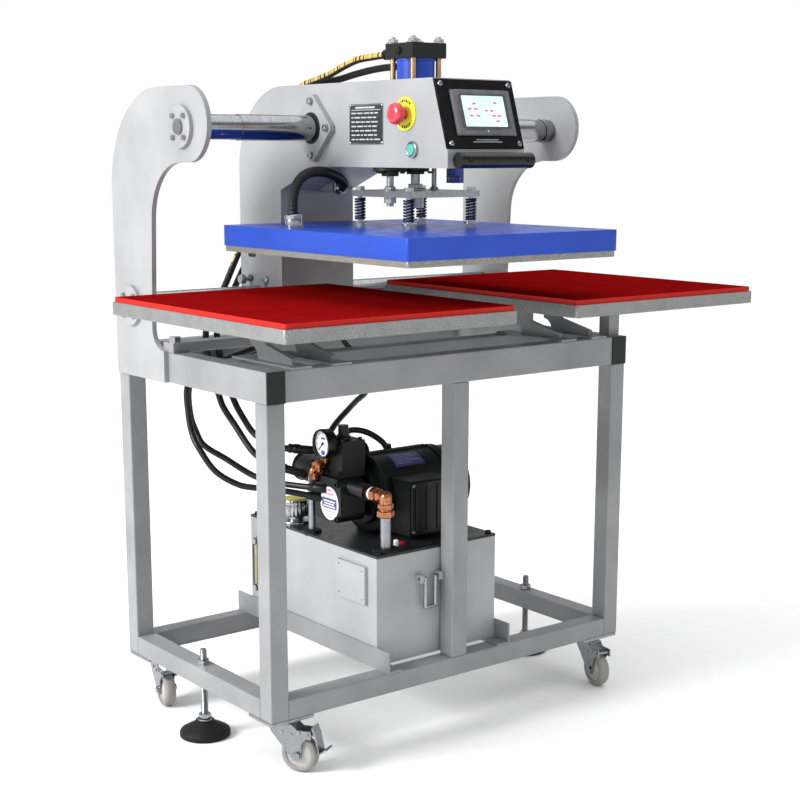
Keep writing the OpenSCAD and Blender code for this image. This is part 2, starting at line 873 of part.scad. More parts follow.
fork_back = 17;
fork_end = caster_trail + 29;
pivot_x = caster_trail + 22;
pivot_z = fork_top - 18;
pivot_radius = 3;

module fork_cheek() {
    rotate([90, 0, 0]) linear_extrude(height = fork_plate)
        polygon([[-fork_back, fork_top - fork_plate / 2],
            [caster_trail * 0.75, fork_top - fork_plate / 2], [caster_trail, pivot_z + 8],
            [fork_end, pivot_z + 8], [fork_end, pivot_z - 8], [pivot_x - 4, pivot_z - 8],
            [caster_trail + 9, wheel_radius + 22], [caster_trail + 9, wheel_radius],
            [caster_trail + 5, wheel_radius - 10], [caster_trail - 9, wheel_radius - 12],
            [caster_trail - 15, wheel_radius - 4], [-fork_back, fork_top - 16]]);
}

module fork() {
    color([0.62, 0.63, 0.65])
    union() {
        translate([0, 0, fork_top - fork_plate]) cylinder(h = fork_plate, r = fork_radius);
        translate([-fork_back, -fork_in - fork_plate, fork_top - fork_plate])
            cube([fork_back + caster_trail * 0.75, 2 * (fork_in + fork_plate), fork_plate]);
        translate([0, -fork_in, 0]) fork_cheek();
        translate([0, fork_in + fork_plate, 0]) fork_cheek();
        translate([caster_trail, -fork_in - fork_plate - 4, wheel_radius]) rotate([-90, 0, 0])
            cylinder(h = 2 * (fork_in + fork_plate + 4), r = hub_radius);
        translate([pivot_x, -fork_in - fork_plate - 2, pivot_z]) rotate([-90, 0, 0])
            cylinder(h = 2 * (fork_in + fork_plate + 2), r = pivot_radius);
    }
}

module wheel() {
    color([0.62, 0.63, 0.62])
    translate([caster_trail, -wheel_width / 2, wheel_radius]) rotate([-90, 0, 0])
        difference() {
            rotate_extrude($fn = 64)
                polygon([[0, 0], [wheel_radius * 0.55, 0], [wheel_radius * 0.6, 2],
                    [wheel_radius * 0.85, 2], [wheel_radius * 0.95, wheel_width * 0.2],
                    [wheel_radius, wheel_width * 0.35], [wheel_radius, wheel_width * 0.65],
                    [wheel_radius * 0.95, wheel_width * 0.8], [wheel_radius * 0.85, wheel_width - 2],
                    [wheel_radius * 0.6, wheel_width - 2], [wheel_radius * 0.55, wheel_width],
                    [0, wheel_width]]);
            translate([0, 0, -cut]) cylinder(h = wheel_width + 2 * cut, r = hub_radius + running);
        }
}

module caster_fork_front_left() {
    place_caster(-caster_x, caster_front, front_left_turn) fork();
}

module caster_fork_front_right() {
    place_caster(caster_x, caster_front, other_turn) fork();
}

module caster_fork_rear_left() {
    place_caster(-caster_x, caster_rear, other_turn) fork();
}

module caster_fork_rear_right() {
    place_caster(caster_x, caster_rear, other_turn) fork();
}

module wheel_front_left() {
    place_caster(-caster_x, caster_front, front_left_turn) wheel();
}

module wheel_front_right() {
    place_caster(caster_x, caster_front, other_turn) wheel();
}

module wheel_rear_left() {
    place_caster(-caster_x, caster_rear, other_turn) wheel();
}

module wheel_rear_right() {
    place_caster(caster_x, caster_rear, other_turn) wheel();
}

pedal_width = 2 * (fork_in - loose);
pedal_sheet = 3;
pedal_knee = 13;
pedal_drop = 38;

module brake_pedal() {
    x = pivot_x + pedal_knee;
    color([0.70, 0.71, 0.73])
    place_caster(-caster_x, caster_front, front_left_turn)
        translate([0, pedal_width / 2, 0]) rotate([90, 0, 0]) linear_extrude(height = pedal_width)
            difference() {
                union() {
                    translate([pivot_x, pivot_z]) circle(r = pivot_radius + 2);
                    polygon([[pivot_x, pivot_z - pedal_sheet / 2], [x, pivot_z - pedal_sheet / 2],
                        [x + pedal_drop * 0.25, pivot_z - pedal_drop],
                        [x + pedal_drop * 0.7, pivot_z - pedal_drop * 0.68],
                        [x + pedal_drop * 0.7 - pedal_sheet, pivot_z - pedal_drop * 0.62],
                        [x + pedal_drop * 0.28, pivot_z - pedal_drop + pedal_sheet * 1.3],
                        [x + pedal_sheet, pivot_z + pedal_sheet / 2],
                        [x - pedal_sheet, pivot_z + pedal_drop * 0.45],
                        [x - 2 * pedal_sheet, pivot_z + pedal_drop * 0.42],
                        [x - pedal_sheet / 3, pivot_z + pedal_sheet / 2],
                        [pivot_x, pivot_z + pedal_sheet / 2]]);
                }
                translate([pivot_x, pivot_z]) circle(r = pivot_radius + running);
            }
}

foot_rim = 10;
foot_cone = 30;

module levelling_foot(x) {
    color([0.09, 0.09, 0.09])
    union() {
        rod_z(x, foot_y, 0, foot_rim, foot_radius);
        translate([x, foot_y, foot_rim])
            cylinder(h = foot_cone - foot_rim, r1 = foot_radius, r2 = foot_radius * 0.36);
        rod_z(x, foot_y, foot_cone - cut, foot_cone + 4, foot_radius * 0.36);
        hex_z(x, foot_y, foot_cone, foot_cone + 14, nut_across);
        rod_z(x, foot_y, foot_cone, low_top + nut_height + 18, rod_radius);
    }
}

module levelling_foot_left() {
    levelling_foot(-foot_x);
}

module levelling_foot_right() {
    levelling_foot(foot_x);
}

// Press head
nose_y0 = front_y - head_nose;
panel_rise = panel_length * cos(panel_lean);
panel_run = panel_length * sin(panel_lean);
panel_lip = 2;
panel_inset = panel_thickness / cos(panel_lean);
chin_z = head_top - panel_lip - panel_rise;
ledge_z = chin_z - panel_thickness * sin(panel_lean) - loose;
column_y0 = front_y + column_front;
column_y1 = front_y + column_rear;
haunch_y = front_y + 258;
haunch_z = head_bottom - 49;
bearing_radius = shaft_radius + 15;
low_bush_radius = shaft_radius + 8;
pin_left_x = head_x - 62;
pin_left_radius = 7;
pin_right_offset = 47;
pin_right_x = head_x + pin_right_offset;
pin_right_radius = 5;
ram_overrun = 40;
ram_reach = ram_travel + ram_overrun;
rod_hold = 34;
rod_top = head_bottom + ram_travel + rod_hold;

module head_outline() {
    difference() {
        union() {
            polygon([[nose_y0, head_bottom], [haunch_y, head_bottom], [column_y0, haunch_z],
                [column_y0, column_bottom], [column_y1, column_bottom],
                [column_y1, head_top - head_corner_radius],
                [column_y1 - head_corner_radius, head_top - head_corner_radius],
                [column_y1 - head_corner_radius, head_top],
                [nose_y0 + panel_inset + (panel_rise + panel_lip) * tan(panel_lean), head_top],
                [nose_y0 + panel_inset + (ledge_z - chin_z) * tan(panel_lean), ledge_z],
                [nose_y0, ledge_z]]);
            intersection() {
                translate([column_y1 - head_corner_radius, head_top - head_corner_radius])
                    circle(r = head_corner_radius, $fn = 96);
                translate([column_y1 - head_corner_radius - cut, head_top - head_corner_radius - cut])
                    square([head_corner_radius + 2 * cut, head_corner_radius + 2 * cut]);
            }
        }
        translate([shaft_y, shaft_z]) circle(r = bearing_radius + running);
        translate([low_shaft_y, low_shaft_z]) circle(r = low_bush_radius + running);
    }
}

module head_frame() {
    color([0.68, 0.69, 0.71])
    difference() {
        union() {
            in_yz(head_left, head_right) head_outline();
            rod_y(conduit_d[0], conduit_d[1], column_y0 + cut, conduit_d[2], conduit_radius + 2);
            rod_y(conduit_d[0], conduit_d[1], conduit_d[1] + gland_rim, conduit_d[2],
                conduit_radius + 4);
        }
        rod_z(head_x, station_y, head_bottom - cut, head_bottom + ram_reach, piston_radius + running);
        rod_z(pin_left_x, station_y, head_bottom - cut, head_bottom + ram_reach,
            pin_left_radius + running);
        rod_z(pin_right_x, station_y, head_bottom - cut, head_bottom + ram_reach,
            pin_right_radius + running);
        for (p = [[stop_y, stop_z, stop_stem], [start_y, start_z, start_stem]])
            rod_x(head_left - cut, head_left + 24, p[0], p[1], p[2] + loose);
    }
}

stop_y = front_y - 32;
stop_z = shaft_z + 23;
stop_stem = 9;
start_y = front_y - 54;
start_z = shaft_z - 42;
start_stem = 8;

module bearing_flange(x0, x1, y, z) {
    difference() {
        intersection() {
            translate([x0, y, z]) rotate([45, 0, 0])
                translate([0, -flange_side / 2, -flange_side / 2])
                    cube([x1 - x0, flange_side, flange_side]);
            rod_x(x0 - cut, x1 + cut, y, z, flange_side * 0.66);
        }
        rod_x(x0 - cut, x1 + cut, y, z, shaft_radius + running);
    }
}

module bearing_housings() {
    color([0.60, 0.61, 0.63]) {
        difference() {
            union() {
                bearing_flange(head_left - flange_thickness, head_left, shaft_y, shaft_z);
                bearing_flange(head_right, head_right + flange_thickness, shaft_y, shaft_z);
                rod_x(head_left - cut, head_right + cut, shaft_y, shaft_z, bearing_radius);
                for (a = [0 : 90 : 270])
                    rod_x(head_left - flange_thickness - screw_height, head_left - cut,
                        shaft_y + flange_side * 0.53 * cos(a), shaft_z + flange_side * 0.53 * sin(a),
                        screw_head + 1);
            }
            rod_x(head_left - flange_thickness - 2 * cut, head_right + flange_thickness + 2 * cut, shaft_y,
                shaft_z, shaft_radius + running);
        }
        difference() {
            union() {
                rod_x(head_left - 4, head_right + 4, low_shaft_y, low_shaft_z, low_bush_radius);
                rod_x(head_left - 4, head_left, low_shaft_y, low_shaft_z, low_bush_radius + 6);
                rod_x(head_right, head_right + 4, low_shaft_y, low_shaft_z, low_bush_radius + 6);
            }
            rod_x(head_left - 5, head_right + 5, low_shaft_y, low_shaft_z, shaft_radius + running);
        }
    }
}

panel_top_y = nose_y0 + panel_run;
panel_top_z = head_top - panel_lip;
panel_screw = [11, 9];
bezel_down = 21;
bezel_thickness = 5;

module on_panel() {
    translate([head_left, panel_top_y, panel_top_z]) rotate([-panel_lean, 0, 0]) rotate([90, 0, 0])
        children();
}

module control_panel() {
    color([0.05, 0.05, 0.06])
    union() {
        on_panel() translate([0, -panel_length, -panel_thickness])
            cube([head_width, panel_length, panel_thickness]);
        on_panel()
            for (x = [panel_screw[0], head_width - panel_screw[0]],
                d = [panel_screw[1], panel_length - panel_screw[1]])
                translate([x, -d, -cut]) cylinder(h = cut + 2, r = screw_head * 0.7);
    }
}

module touch_screen() {
    color([0.45, 0.46, 0.48])
    on_panel() translate([(head_width - bezel[0]) / 2 + 6, -bezel_down - bezel[1], 0])
        cube([bezel[0], bezel[1], bezel_thickness]);
}

grip_y = nose_y0 - grip_reach;
grip_z = head_bottom + grip_radius;
grip_arm = 12;

module grip_bar() {
    color([0.10, 0.10, 0.11])
    union() {
        rod_x(head_left + 2, head_right - 10, grip_y, grip_z, grip_radius);
        for (x = [head_left + 14, head_right - 22 - grip_arm])
            block([x, grip_y, grip_z - 7], [x + grip_arm, nose_y0, grip_z + 7]);
    }
}

module button_ring(y, z, r_out, r_in, proud) {
    difference() {
        rod_x(head_left - proud, head_left, y, z, r_out);
        rod_x(head_left - proud - cut, head_left + cut, y, z, r_in);
    }
}

module button_rings() {
    color([0.86, 0.76, 0.12]) {
        button_ring(stop_y, stop_z, stop_disc_radius, stop_stem + loose, 3);
        button_ring(start_y, start_z, start_ring_radius, start_stem + loose, 3);
    }
}

module stop_button() {
    color([0.75, 0.06, 0.05])
    union() {
        rod_x(head_left - 3 - stop_travel - loose - 20, head_left - 3 - stop_travel - loose,
            stop_y, stop_z, stop_radius);
        rod_x(head_left - 3 - stop_travel - loose - cut, head_left + 24 - stop_travel - loose - cut, stop_y,
            stop_z, stop_stem);
    }
}

module start_button() {
    color([0.10, 0.50, 0.18])
    rod_x(head_left - 3 - start_travel - 1, head_left + 24 - start_travel - loose - cut, start_y,
        start_z, start_stem);
}

tie_offset = 31;
tie_radius = 5;
tube_top = head_top + cylinder_height;

module cylinder_tube() {
    color([0.16, 0.30, 0.75])
    union() {
        rod_z(head_x, station_y, head_top, tube_top, cylinder_radius);
        rod_y(hose_routes[1][0][0], station_y, hose_routes[1][0][1] + front_y, hose_routes[1][0][2],
            hose_boss);
    }
}

module cylinder_cap() {
    color([0.07, 0.07, 0.08])
    union() {
        translate([head_x - cap_side / 2, station_y - cap_side / 2, tube_top])
            cube([cap_side, cap_side, cap_height]);
        for (sx = [-1, 1], sy = [-1, 1]) {
            rod_z(head_x + sx * tie_offset, station_y + sy * tie_offset, head_top, tube_top + cut,
                tie_radius);
            hex_z(head_x + sx * tie_offset, station_y + sy * tie_offset, tube_top + cap_height - cut,
                tube_top + cap_height + 7, 3.4 * tie_radius);
        }
        rod_y(hose_routes[0][0][0], station_y, hose_routes[0][0][1] + front_y, hose_routes[0][0][2],
            hose_boss);
    }
}

guide_radius = 16;
switch_size = [22, 26, 30];
switch_x = head_x + 62;
switch_y = station_y - 46;

module head_fittings() {
    color([0.12, 0.13, 0.30]) {
        difference() {
            rod_z(pin_left_x, station_y, head_bottom - 14, head_bottom, guide_radius);
            rod_z(pin_left_x, station_y, head_bottom - 14 - cut, head_bottom + cut,
                pin_left_radius + running);
        }
        translate([switch_x - switch_size[0] / 2, switch_y - switch_size[1] / 2,
            head_bottom - switch_size[2]]) cube(switch_size);
    }
}

lever_reach = 26;

module switch_lever() {
    lx = switch_x - switch_size[0] / 2;
    lz = head_bottom - switch_size[2] + 8;
    color([0.75, 0.76, 0.78])
    union() {
        rod_x(lx - 4 - loose, lx - loose, switch_y, lz, 4);
        block([lx - 3 - loose, switch_y - lever_reach, lz - 2], [lx - 1 - loose, switch_y, lz + 2]);
        rod_x(lx - 7 - loose, lx - loose, switch_y - lever_reach, lz, 5);
    }
}

// Ram: rod, spring plate and guide pins
module ram() {
    color([0.70, 0.71, 0.73])
    union() {
        difference() {
            translate([head_x - spring_plate / 2, station_y - spring_plate / 2, ram_under])
                cube([spring_plate, spring_plate, spring_plate_thickness]);
            for (sx = [-1, 1], sy = [-1, 1])
                rod_z(head_x + sx * spring_offset, station_y + sy * spring_offset, ram_under - cut,
                    ram_top + cut, spring_bolt_radius + loose);
        }
        rod_z(head_x, station_y, ram_top - cut, rod_top, piston_radius);
        rod_z(pin_left_x, station_y, ram_under - 18, rod_top, pin_left_radius);
        hex_z(pin_left_x, station_y, ram_under - 12, ram_under, nut_across);
        rod_z(pin_right_x, station_y, ram_top - cut, rod_top, pin_right_radius);
        rod_z(head_x, station_y, ram_under - 22, ram_under, 1.8 * piston_radius);
    }
}

washer_radius = spring_radius + 2;
washer_height = 3;
bolt_nut_height = 9;
spring_seat = cover_top + bolt_nut_height + washer_height;

module spring_bolts() {
    color([0.55, 0.56, 0.58])
    for (sx = [-1, 1], sy = [-1, 1]) {
        x = head_x + sx * spring_offset;
        y = station_y + sy * spring_offset;
        union() {
            rod_z(x, y, cover_top, ram_top + cut, spring_bolt_radius);
            hex_z(x, y, ram_top, ram_top + 7, 3.4 * spring_bolt_radius);
            hex_z(x, y, cover_top, cover_top + bolt_nut_height, 3.4 * spring_bolt_radius);
            rod_z(x, y, cover_top + bolt_nut_height - cut, spring_seat, washer_radius);
        }
    }
}

// Springs: one unbroken wire of round turns
spring_fit = 0.35;
spring_mean = spring_radius - spring_wire;
spring_z0 = spring_seat + spring_wire + spring_fit;
spring_z1 = ram_under - spring_wire - spring_fit;
spring_steps = 8 * spring_turns;
spring_pitch = (spring_z1 - spring_z0) / spring_turns;

function spring_point(i) = [spring_mean * cos(45 * i), spring_mean * sin(45 * i),
    spring_z0 + spring_pitch * i / 8];
function spring_ring(i) =
    let (p = spring_point(i), a = 45 * i)
    [for (k = [0 : 5]) [p[0] + spring_wire * cos(60 * k) * cos(a),
        p[1] + spring_wire * cos(60 * k) * sin(a), p[2] + spring_wire * sin(60 * k)]];
function flat_list(l) = [for (a = l) for (b = a) b];
function tube_faces(rings, sides) = concat(
    [for (i = [0 : rings - 2], k = [0 : sides - 1], t = [0, 1])
        t == 0 ? [i * sides + k, i * sides + (k + 1) % sides, (i + 1) * sides + (k + 1) % sides]
            : [i * sides + k, (i + 1) * sides + (k + 1) % sides, (i + 1) * sides + k]],
    [for (k = [1 : sides - 2]) [0, k + 1, k]],
    [for (k = [1 : sides - 2]) (rings - 1) * sides * [1, 1, 1] + [0, k, k + 1]]);

echo(least_gap_between_spring_turns = spring_pitch - 2 * spring_wire);

module springs() {
    color([0.75, 0.76, 0.78])
    for (sx = [-1, 1], sy = [-1, 1])
        translate([head_x + sx * spring_offset, station_y + sy * spring_offset, 0])
            polyhedron(points = flat_list([for (i = [0 : spring_steps]) spring_ring(i)]),
                faces = tube_faces(spring_steps + 1, 6));
}

// Platen
socket_x = -279;
socket_y = front_y + 177;
socket_radius = conduit_radius + 5;
socket_height = 12;
socket_gap = 2.4;

module platen_cover() {
    color([0.20, 0.38, 0.88])
    union() {
        round_plate(head_x, station_y, cover_under, cover_top, table_width, table_depth, corner_radius);
        difference() {
            rod_z(socket_x, socket_y, cover_top - cut, cover_top + socket_height, socket_radius);
            rod_z(socket_x, socket_y, cover_top + 2, cover_top + socket_height + cut,
                conduit_radius + socket_gap);
        }
    }
}

module heat_plate() {
    color([0.62, 0.60, 0.58])
    round_plate(head_x, station_y, heat_under, cover_under, table_width - 2 * heat_inset,
        table_depth - 2 * heat_inset, corner_radius);
}

// Conduit: a ribbed tube with its bore, on a smooth curve from platen to column
gland_rim = 7;
conduit_a = [socket_x, socket_y, cover_top + 4];
conduit_d = [head_x + 16, front_y + 336, head_bottom - 43];
conduit_b = [socket_x - 31, socket_y, cover_top + 180];
conduit_c = [conduit_d[0], conduit_d[1] - 100, conduit_d[2]];
conduit_rib = 1.2;

function bezier(p, q, r, s, t) = (1 - t) * (1 - t) * (1 - t) * p + 3 * (1 - t) * (1 - t) * t * q
    + 3 * (1 - t) * t * t * r + t * t * t * s;
function unit(v) = v / norm(v);
function conduit_at(t) = bezier(conduit_a, conduit_b, conduit_c, conduit_d, t);
function conduit_ring(t, r, sides) =
    let (p = conduit_at(t), d = unit(conduit_at(t + 0.001) - conduit_at(t - 0.001)),
        u = unit(cross(d, [0.3, -0.9, 0.1])), w = cross(d, u))
    [for (k = [0 : sides - 1]) p + r * (cos(360 * k / sides) * u + sin(360 * k / sides) * w)];

conduit_outer = [for (i = [0 : 2 * conduit_ribs])
    conduit_ring(i / (2 * conduit_ribs), conduit_radius - (i % 2 == 0 ? conduit_rib : 0), 8)];
conduit_inner_count = 20;
conduit_inner = [for (i = [0 : conduit_inner_count])
    conduit_ring(1 - i / conduit_inner_count, conduit_radius - 2.6 * conduit_rib, 8)];

function side_faces(rings, sides) =
    [for (i = [0 : rings - 2], k = [0 : sides - 1], t = [0, 1])
        t == 0 ? [i * sides + k, i * sides + (k + 1) % sides, (i + 1) * sides + (k + 1) % sides]
            : [i * sides + k, (i + 1) * sides + (k + 1) % sides, (i + 1) * sides + k]];
function link_faces(a, b, sides) =
    [for (k = [0 : sides - 1], t = [0, 1])
        t == 0 ? [a + k, a + (k + 1) % sides, b + (k + 1) % sides] : [a + k, b + (k + 1) % sides, b + k]];

module conduit() {
    rings = 2 * conduit_ribs + 1;
    count = rings + conduit_inner_count + 1;
    color([0.08, 0.08, 0.09])
    polyhedron(points = concat(flat_list(conduit_outer), flat_list(conduit_inner)),
        faces = concat(side_faces(rings, 8), link_faces((rings - 1) * 8, rings * 8, 8),
            [for (f = side_faces(conduit_inner_count + 1, 8)) f + rings * 8 * [1, 1, 1]],
            link_faces((count - 1) * 8, 0, 8)));
}

// Hoses from the power unit to the head
hose_radius = 7;
cable_radius = 6.5;
hose_boss = 9;
hose_sides = 8;
hose_routes = [
    [[-95, 104, 1363], [-95, 122, 1363], [-93, 175, 1361], [-90, 225, 1358], [-86, 276, 1348],
        [-84, 329, 1334], [-84, 385, 1323], [-86, 427, 1314], [-88, 482, 1288], [-90, 526, 1244],
        [-92, 553, 1188], [-95, 558, 1130], [-112, 558, 1060], [-142, 558, 1005], [-172, 558, 957],
        [-206, 555, 896], [-240, 544, 850], [-270, 526, 818], [-284, 514, 786], [-278, 511, 730],
        [-261, 505, 665], [-258, 490, 636], [-252, 455, 602], [-240, 405, 551], [-220, 374, 529],
        [-192, 350, 516]],
    [[-60, 104, 1342], [-60, 122, 1342], [-58, 175, 1342], [-57, 225, 1339], [-58, 276, 1333],
        [-60, 329, 1325], [-62, 385, 1321], [-64, 427, 1314], [-66, 482, 1288], [-68, 526, 1244],
        [-70, 553, 1188], [-72, 558, 1130], [-84, 558, 1060], [-112, 558, 1005], [-142, 558, 955],
        [-176, 558, 896], [-208, 550, 850], [-240, 531, 816], [-256, 514, 784], [-246, 511, 725],
        [-228, 500, 654], [-223, 470, 615], [-222, 420, 582], [-204, 364, 563],
        [-166, 334, 558]],
    [[-112, 262, 563], [-110, 284, 566], [-90, 300, 580], [-58, 298, 592], [-26, 284, 586],
        [0, 266, 566], [10, 258, 547]],
    [[-140, 470, 822], [-143, 470, 796], [-170, 470, 768], [-250, 470, 747], [-325, 470, 726],
        [-357, 470, 693], [-361, 462, 636], [-361, 448, 595], [-359, 425, 568], [-339, 395, 522],
        [-303, 365, 494], [-272, 335, 487], [-224, 298, 480], [-182, 266, 470]],
    [[-105, 488, 822], [-108, 488, 796], [-138, 488, 764], [-225, 488, 742], [-310, 488, 718],
        [-342, 488, 689], [-345, 482, 632], [-336, 474, 593], [-328, 456, 566], [-290, 430, 536],
        [-250, 386, 502], [-222, 330, 492], [-184, 258, 490]],
    [[0, 430, 822], [2, 430, 800], [22, 430, 762], [62, 426, 724], [84, 416, 690], [59, 400, 653],
        [10, 370, 640], [-36, 340, 628], [-90, 314, 604], [-122, 292, 584], [-132, 268, 574]]];
hose_ends = [[[0, 1, 0], [0.8, -0.55, -0.3]], [[0, 1, 0], [0.87, -0.45, -0.12]],
    [[0, 1, 0], [0, 0, -1]], [[0, 0, -1], [0.8, -0.55, -0.2]],
    [[0, 0, -1], [0.6, -0.8, -0.05]], [[0, 0, -1], [0, -1, 0]]];
barrel_stub = 45;
top_stub = 36;
barrel_offset = 14;
pump_stub = 28;
fan_hub_reach = 36;
fan_hub_radius = 14;
function hose_end(k) = hose_routes[k][len(hose_routes[k]) - 1];

function hose_point(r, i) = [r[i][0], r[i][1] + front_y, r[i][2]];
function catmull(a, b, c, d, t) = 0.5 * ((2 * b) + (c - a) * t + (2 * a - 5 * b + 4 * c - d) * t * t
    + (3 * b - a - 3 * c + d) * t * t * t);
function route_at(r, s) =
    let (n = len(r) - 1, i = min(floor(s), n - 1), t = s - i)
    catmull(hose_point(r, max(i - 1, 0)), hose_point(r, i), hose_point(r, i + 1),
        hose_point(r, min(i + 2, n)), t);
function route_way(k, s) =
    let (r = hose_routes[k], n = len(r) - 1)
    s == 0 ? hose_ends[k][0] : s == n ? unit(hose_ends[k][1])
        : unit(route_at(r, s + 0.02) - route_at(r, s - 0.02));
function route_ring(k, s, rad) =
    let (p = route_at(hose_routes[k], s), d = route_way(k, s), u = unit(cross(d, [0.61, 0.61, -0.51])),
        w = cross(d, u))
    [for (a = [0 : hose_sides - 1])
        p + rad * (cos(360 * a / hose_sides) * u + sin(360 * a / hose_sides) * w)];

module hose_stub(k, reach) {
    d = unit(hose_ends[k][1]);
    translate(hose_end(k) + [0, front_y, 0]) rotate([0, acos(d[2]), atan2(d[1], d[0])])
        cylinder(h = reach, r = hose_boss);
}

module hoses() {
    color([0.08, 0.08, 0.08])
    for (k = [0 : len(hose_routes) - 1]) {
        steps = 3 * (len(hose_routes[k]) - 1);
        polyhedron(points = flat_list([for (i = [0 : steps])
                route_ring(k, i / 3, k < 2 ? hose_radius : cable_radius)]),
            faces = tube_faces(steps + 1, hose_sides));
    }
}

legs();
top_rails();
lower_rails();
tube_caps();
end_plates();
shaft_discs();
frame_fasteners();
guide_shafts();
tables();
table_pads();
table_brackets();
cross_member();
tank_body();
tank_lid();
tank_angles();
level_gauge();
pipes();
copper_fittings();
breather_body();
breather_cap();
pump_body();
motor_body();
fan_cover();
motor_fan();
valve_block();
relief_knob();
gauge_case();
gauge_needle();
hoses();
caster_plates();
caster_fork_front_left();
caster_fork_front_right();
caster_fork_rear_left();
caster_fork_rear_right();
wheel_front_left();
wheel_front_right();
wheel_rear_left();
wheel_rear_right();
brake_pedal();
levelling_foot_left();
levelling_foot_right();
tank_handle();
head_frame();
bearing_housings();
control_panel();
touch_screen();
grip_bar();
button_rings();
stop_button();
start_button();
cylinder_tube();
cylinder_cap();
head_fittings();
switch_lever();
ram();
spring_bolts();
springs();
platen_cover();
heat_plate();
conduit();
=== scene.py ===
"""A two-station hydraulic heat press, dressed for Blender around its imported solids.

Sizes are in millimetres until a mesh is made. X runs to the operator's right, Z is up from
the floor, and y is counted backwards from the front face of the front rail.
"""
import bmesh
import bpy
import math
import numpy as np
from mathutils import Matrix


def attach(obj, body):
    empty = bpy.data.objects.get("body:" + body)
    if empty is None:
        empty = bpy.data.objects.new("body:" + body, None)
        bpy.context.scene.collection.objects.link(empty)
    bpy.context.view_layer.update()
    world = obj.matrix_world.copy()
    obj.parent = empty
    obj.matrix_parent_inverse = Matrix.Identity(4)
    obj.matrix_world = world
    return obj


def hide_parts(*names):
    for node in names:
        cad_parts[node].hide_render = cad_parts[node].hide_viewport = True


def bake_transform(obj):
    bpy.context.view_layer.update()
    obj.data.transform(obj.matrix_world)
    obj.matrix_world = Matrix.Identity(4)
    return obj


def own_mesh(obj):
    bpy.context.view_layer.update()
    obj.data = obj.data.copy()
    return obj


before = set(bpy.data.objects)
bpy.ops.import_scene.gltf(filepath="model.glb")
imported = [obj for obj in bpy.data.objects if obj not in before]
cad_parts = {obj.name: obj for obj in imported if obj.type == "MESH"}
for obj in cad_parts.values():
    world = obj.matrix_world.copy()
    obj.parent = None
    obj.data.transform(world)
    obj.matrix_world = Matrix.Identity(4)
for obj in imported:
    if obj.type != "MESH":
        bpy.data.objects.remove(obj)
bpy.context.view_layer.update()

FRONT_FACE = -161.25    # row-frame y of the front rail's face
MILLI = 0.001
RNG = np.random.default_rng(7)
UP, DOWN = (0, 0, 1), (0, 0, -1)
RIGHT, LEFT = (1, 0, 0), (-1, 0, 0)
BACK, FRONT = (0, 1, 0), (0, -1, 0)

# Places


def metres(points):
    """(x, y from the front rail, z) in mm to row-frame metres: (x, y + front face, z) / 1000."""
    return (np.asarray(points, float) + (0, FRONT_FACE, 0)) * MILLI


def span(node, axis):
    """Lowest and highest place of a CAD node on an axis, in mm to a tenth, y from the front rail."""
    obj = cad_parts[node]
    places = [(obj.matrix_world @ vertex.co)[axis] / MILLI for vertex in obj.data.vertices]
    start = FRONT_FACE if axis == 1 else 0
    return round(min(places) - start, 1), round(max(places) - start, 1)


def middle(node, axis):
    """Middle of a node's span on an axis, in mm."""
    return sum(span(node, axis)) / 2


HEAD_LEFT, HEAD_RIGHT = span("head_frame", 0)
HEAD_TOP = span("head_frame", 2)[1]
HEAD_BOTTOM = span("head_fittings", 2)[1]
HEAD_X, STATION_Y = middle("ram", 0), middle("ram", 1)
COVER_TOP = span("spring_bolts", 2)[0]
BOLT_HEAD = 7
PLATE_TOP = span("spring_bolts", 2)[1] - BOLT_HEAD
TUBE_TOP = span("cylinder_tube", 2)[1]
CAP_TOP = span("cylinder_cap", 2)[1] - BOLT_HEAD
FLANGE_REACH = 66
FLANGE_THICKNESS = 12
FLANGE_FACES = ((HEAD_LEFT - FLANGE_THICKNESS, LEFT), (HEAD_RIGHT + FLANGE_THICKNESS, RIGHT))
SHAFT_Y = span("bearing_housings", 1)[0] + FLANGE_REACH
SHAFT_Z = span("bearing_housings", 2)[1] - FLANGE_REACH
PIN_LEFT_X, PIN_RIGHT_X = HEAD_X - 62, HEAD_X + 47
LID_THICKNESS = 5
LID_TOP = span("tank_body", 2)[1] + LID_THICKNESS
SUCTION_RADIUS, RETURN_RADIUS = 11, 7.5
SUCTION_X = span("pipes", 0)[1] - SUCTION_RADIUS
SUCTION_Y = span("pipes", 1)[0] + SUCTION_RADIUS
RETURN_X = span("pipes", 0)[0] + RETURN_RADIUS
RETURN_Y = span("pipes", 1)[1] - RETURN_RADIUS
MOTOR_Y, MOTOR_Z = middle("fan_cover", 1), middle("fan_cover", 2)
MOTOR = np.array((0.0, MOTOR_Y, MOTOR_Z))
VALVE_NECK = 8
VALVE_TOP = span("valve_block", 2)[1] - VALVE_NECK
PUMP_FACE = -170
DIAL_RECESS = 6
DIAL = np.array((span("gauge_case", 0)[0] + DIAL_RECESS, middle("gauge_case", 1), middle("gauge_case", 2)))
BREATHER = (middle("breather_body", 0), middle("breather_body", 1), LID_TOP)

# Camera

PHOTO_PIXELS = 800
FOCAL_PIXELS = 1519.4
CAMERA_PITCH, CAMERA_ROLL, CAMERA_TURN = -11.343, -0.08, -38.024
camera = bpy.data.cameras.new("photo_camera")
camera.sensor_width = 36
camera.lens = FOCAL_PIXELS * camera.sensor_width / PHOTO_PIXELS
camera.shift_x = -0.0022
camera.shift_y = 0.070
camera.clip_end = 60
camera_object = bpy.data.objects.new("photo_camera", camera)
bpy.context.collection.objects.link(camera_object)
camera_object.location = metres((-1949.4, -2296.3, 1179.3))
camera_object.rotation_euler = np.radians((90 + CAMERA_PITCH, CAMERA_ROLL, CAMERA_TURN))
bpy.context.scene.camera = camera_object

# Shapes


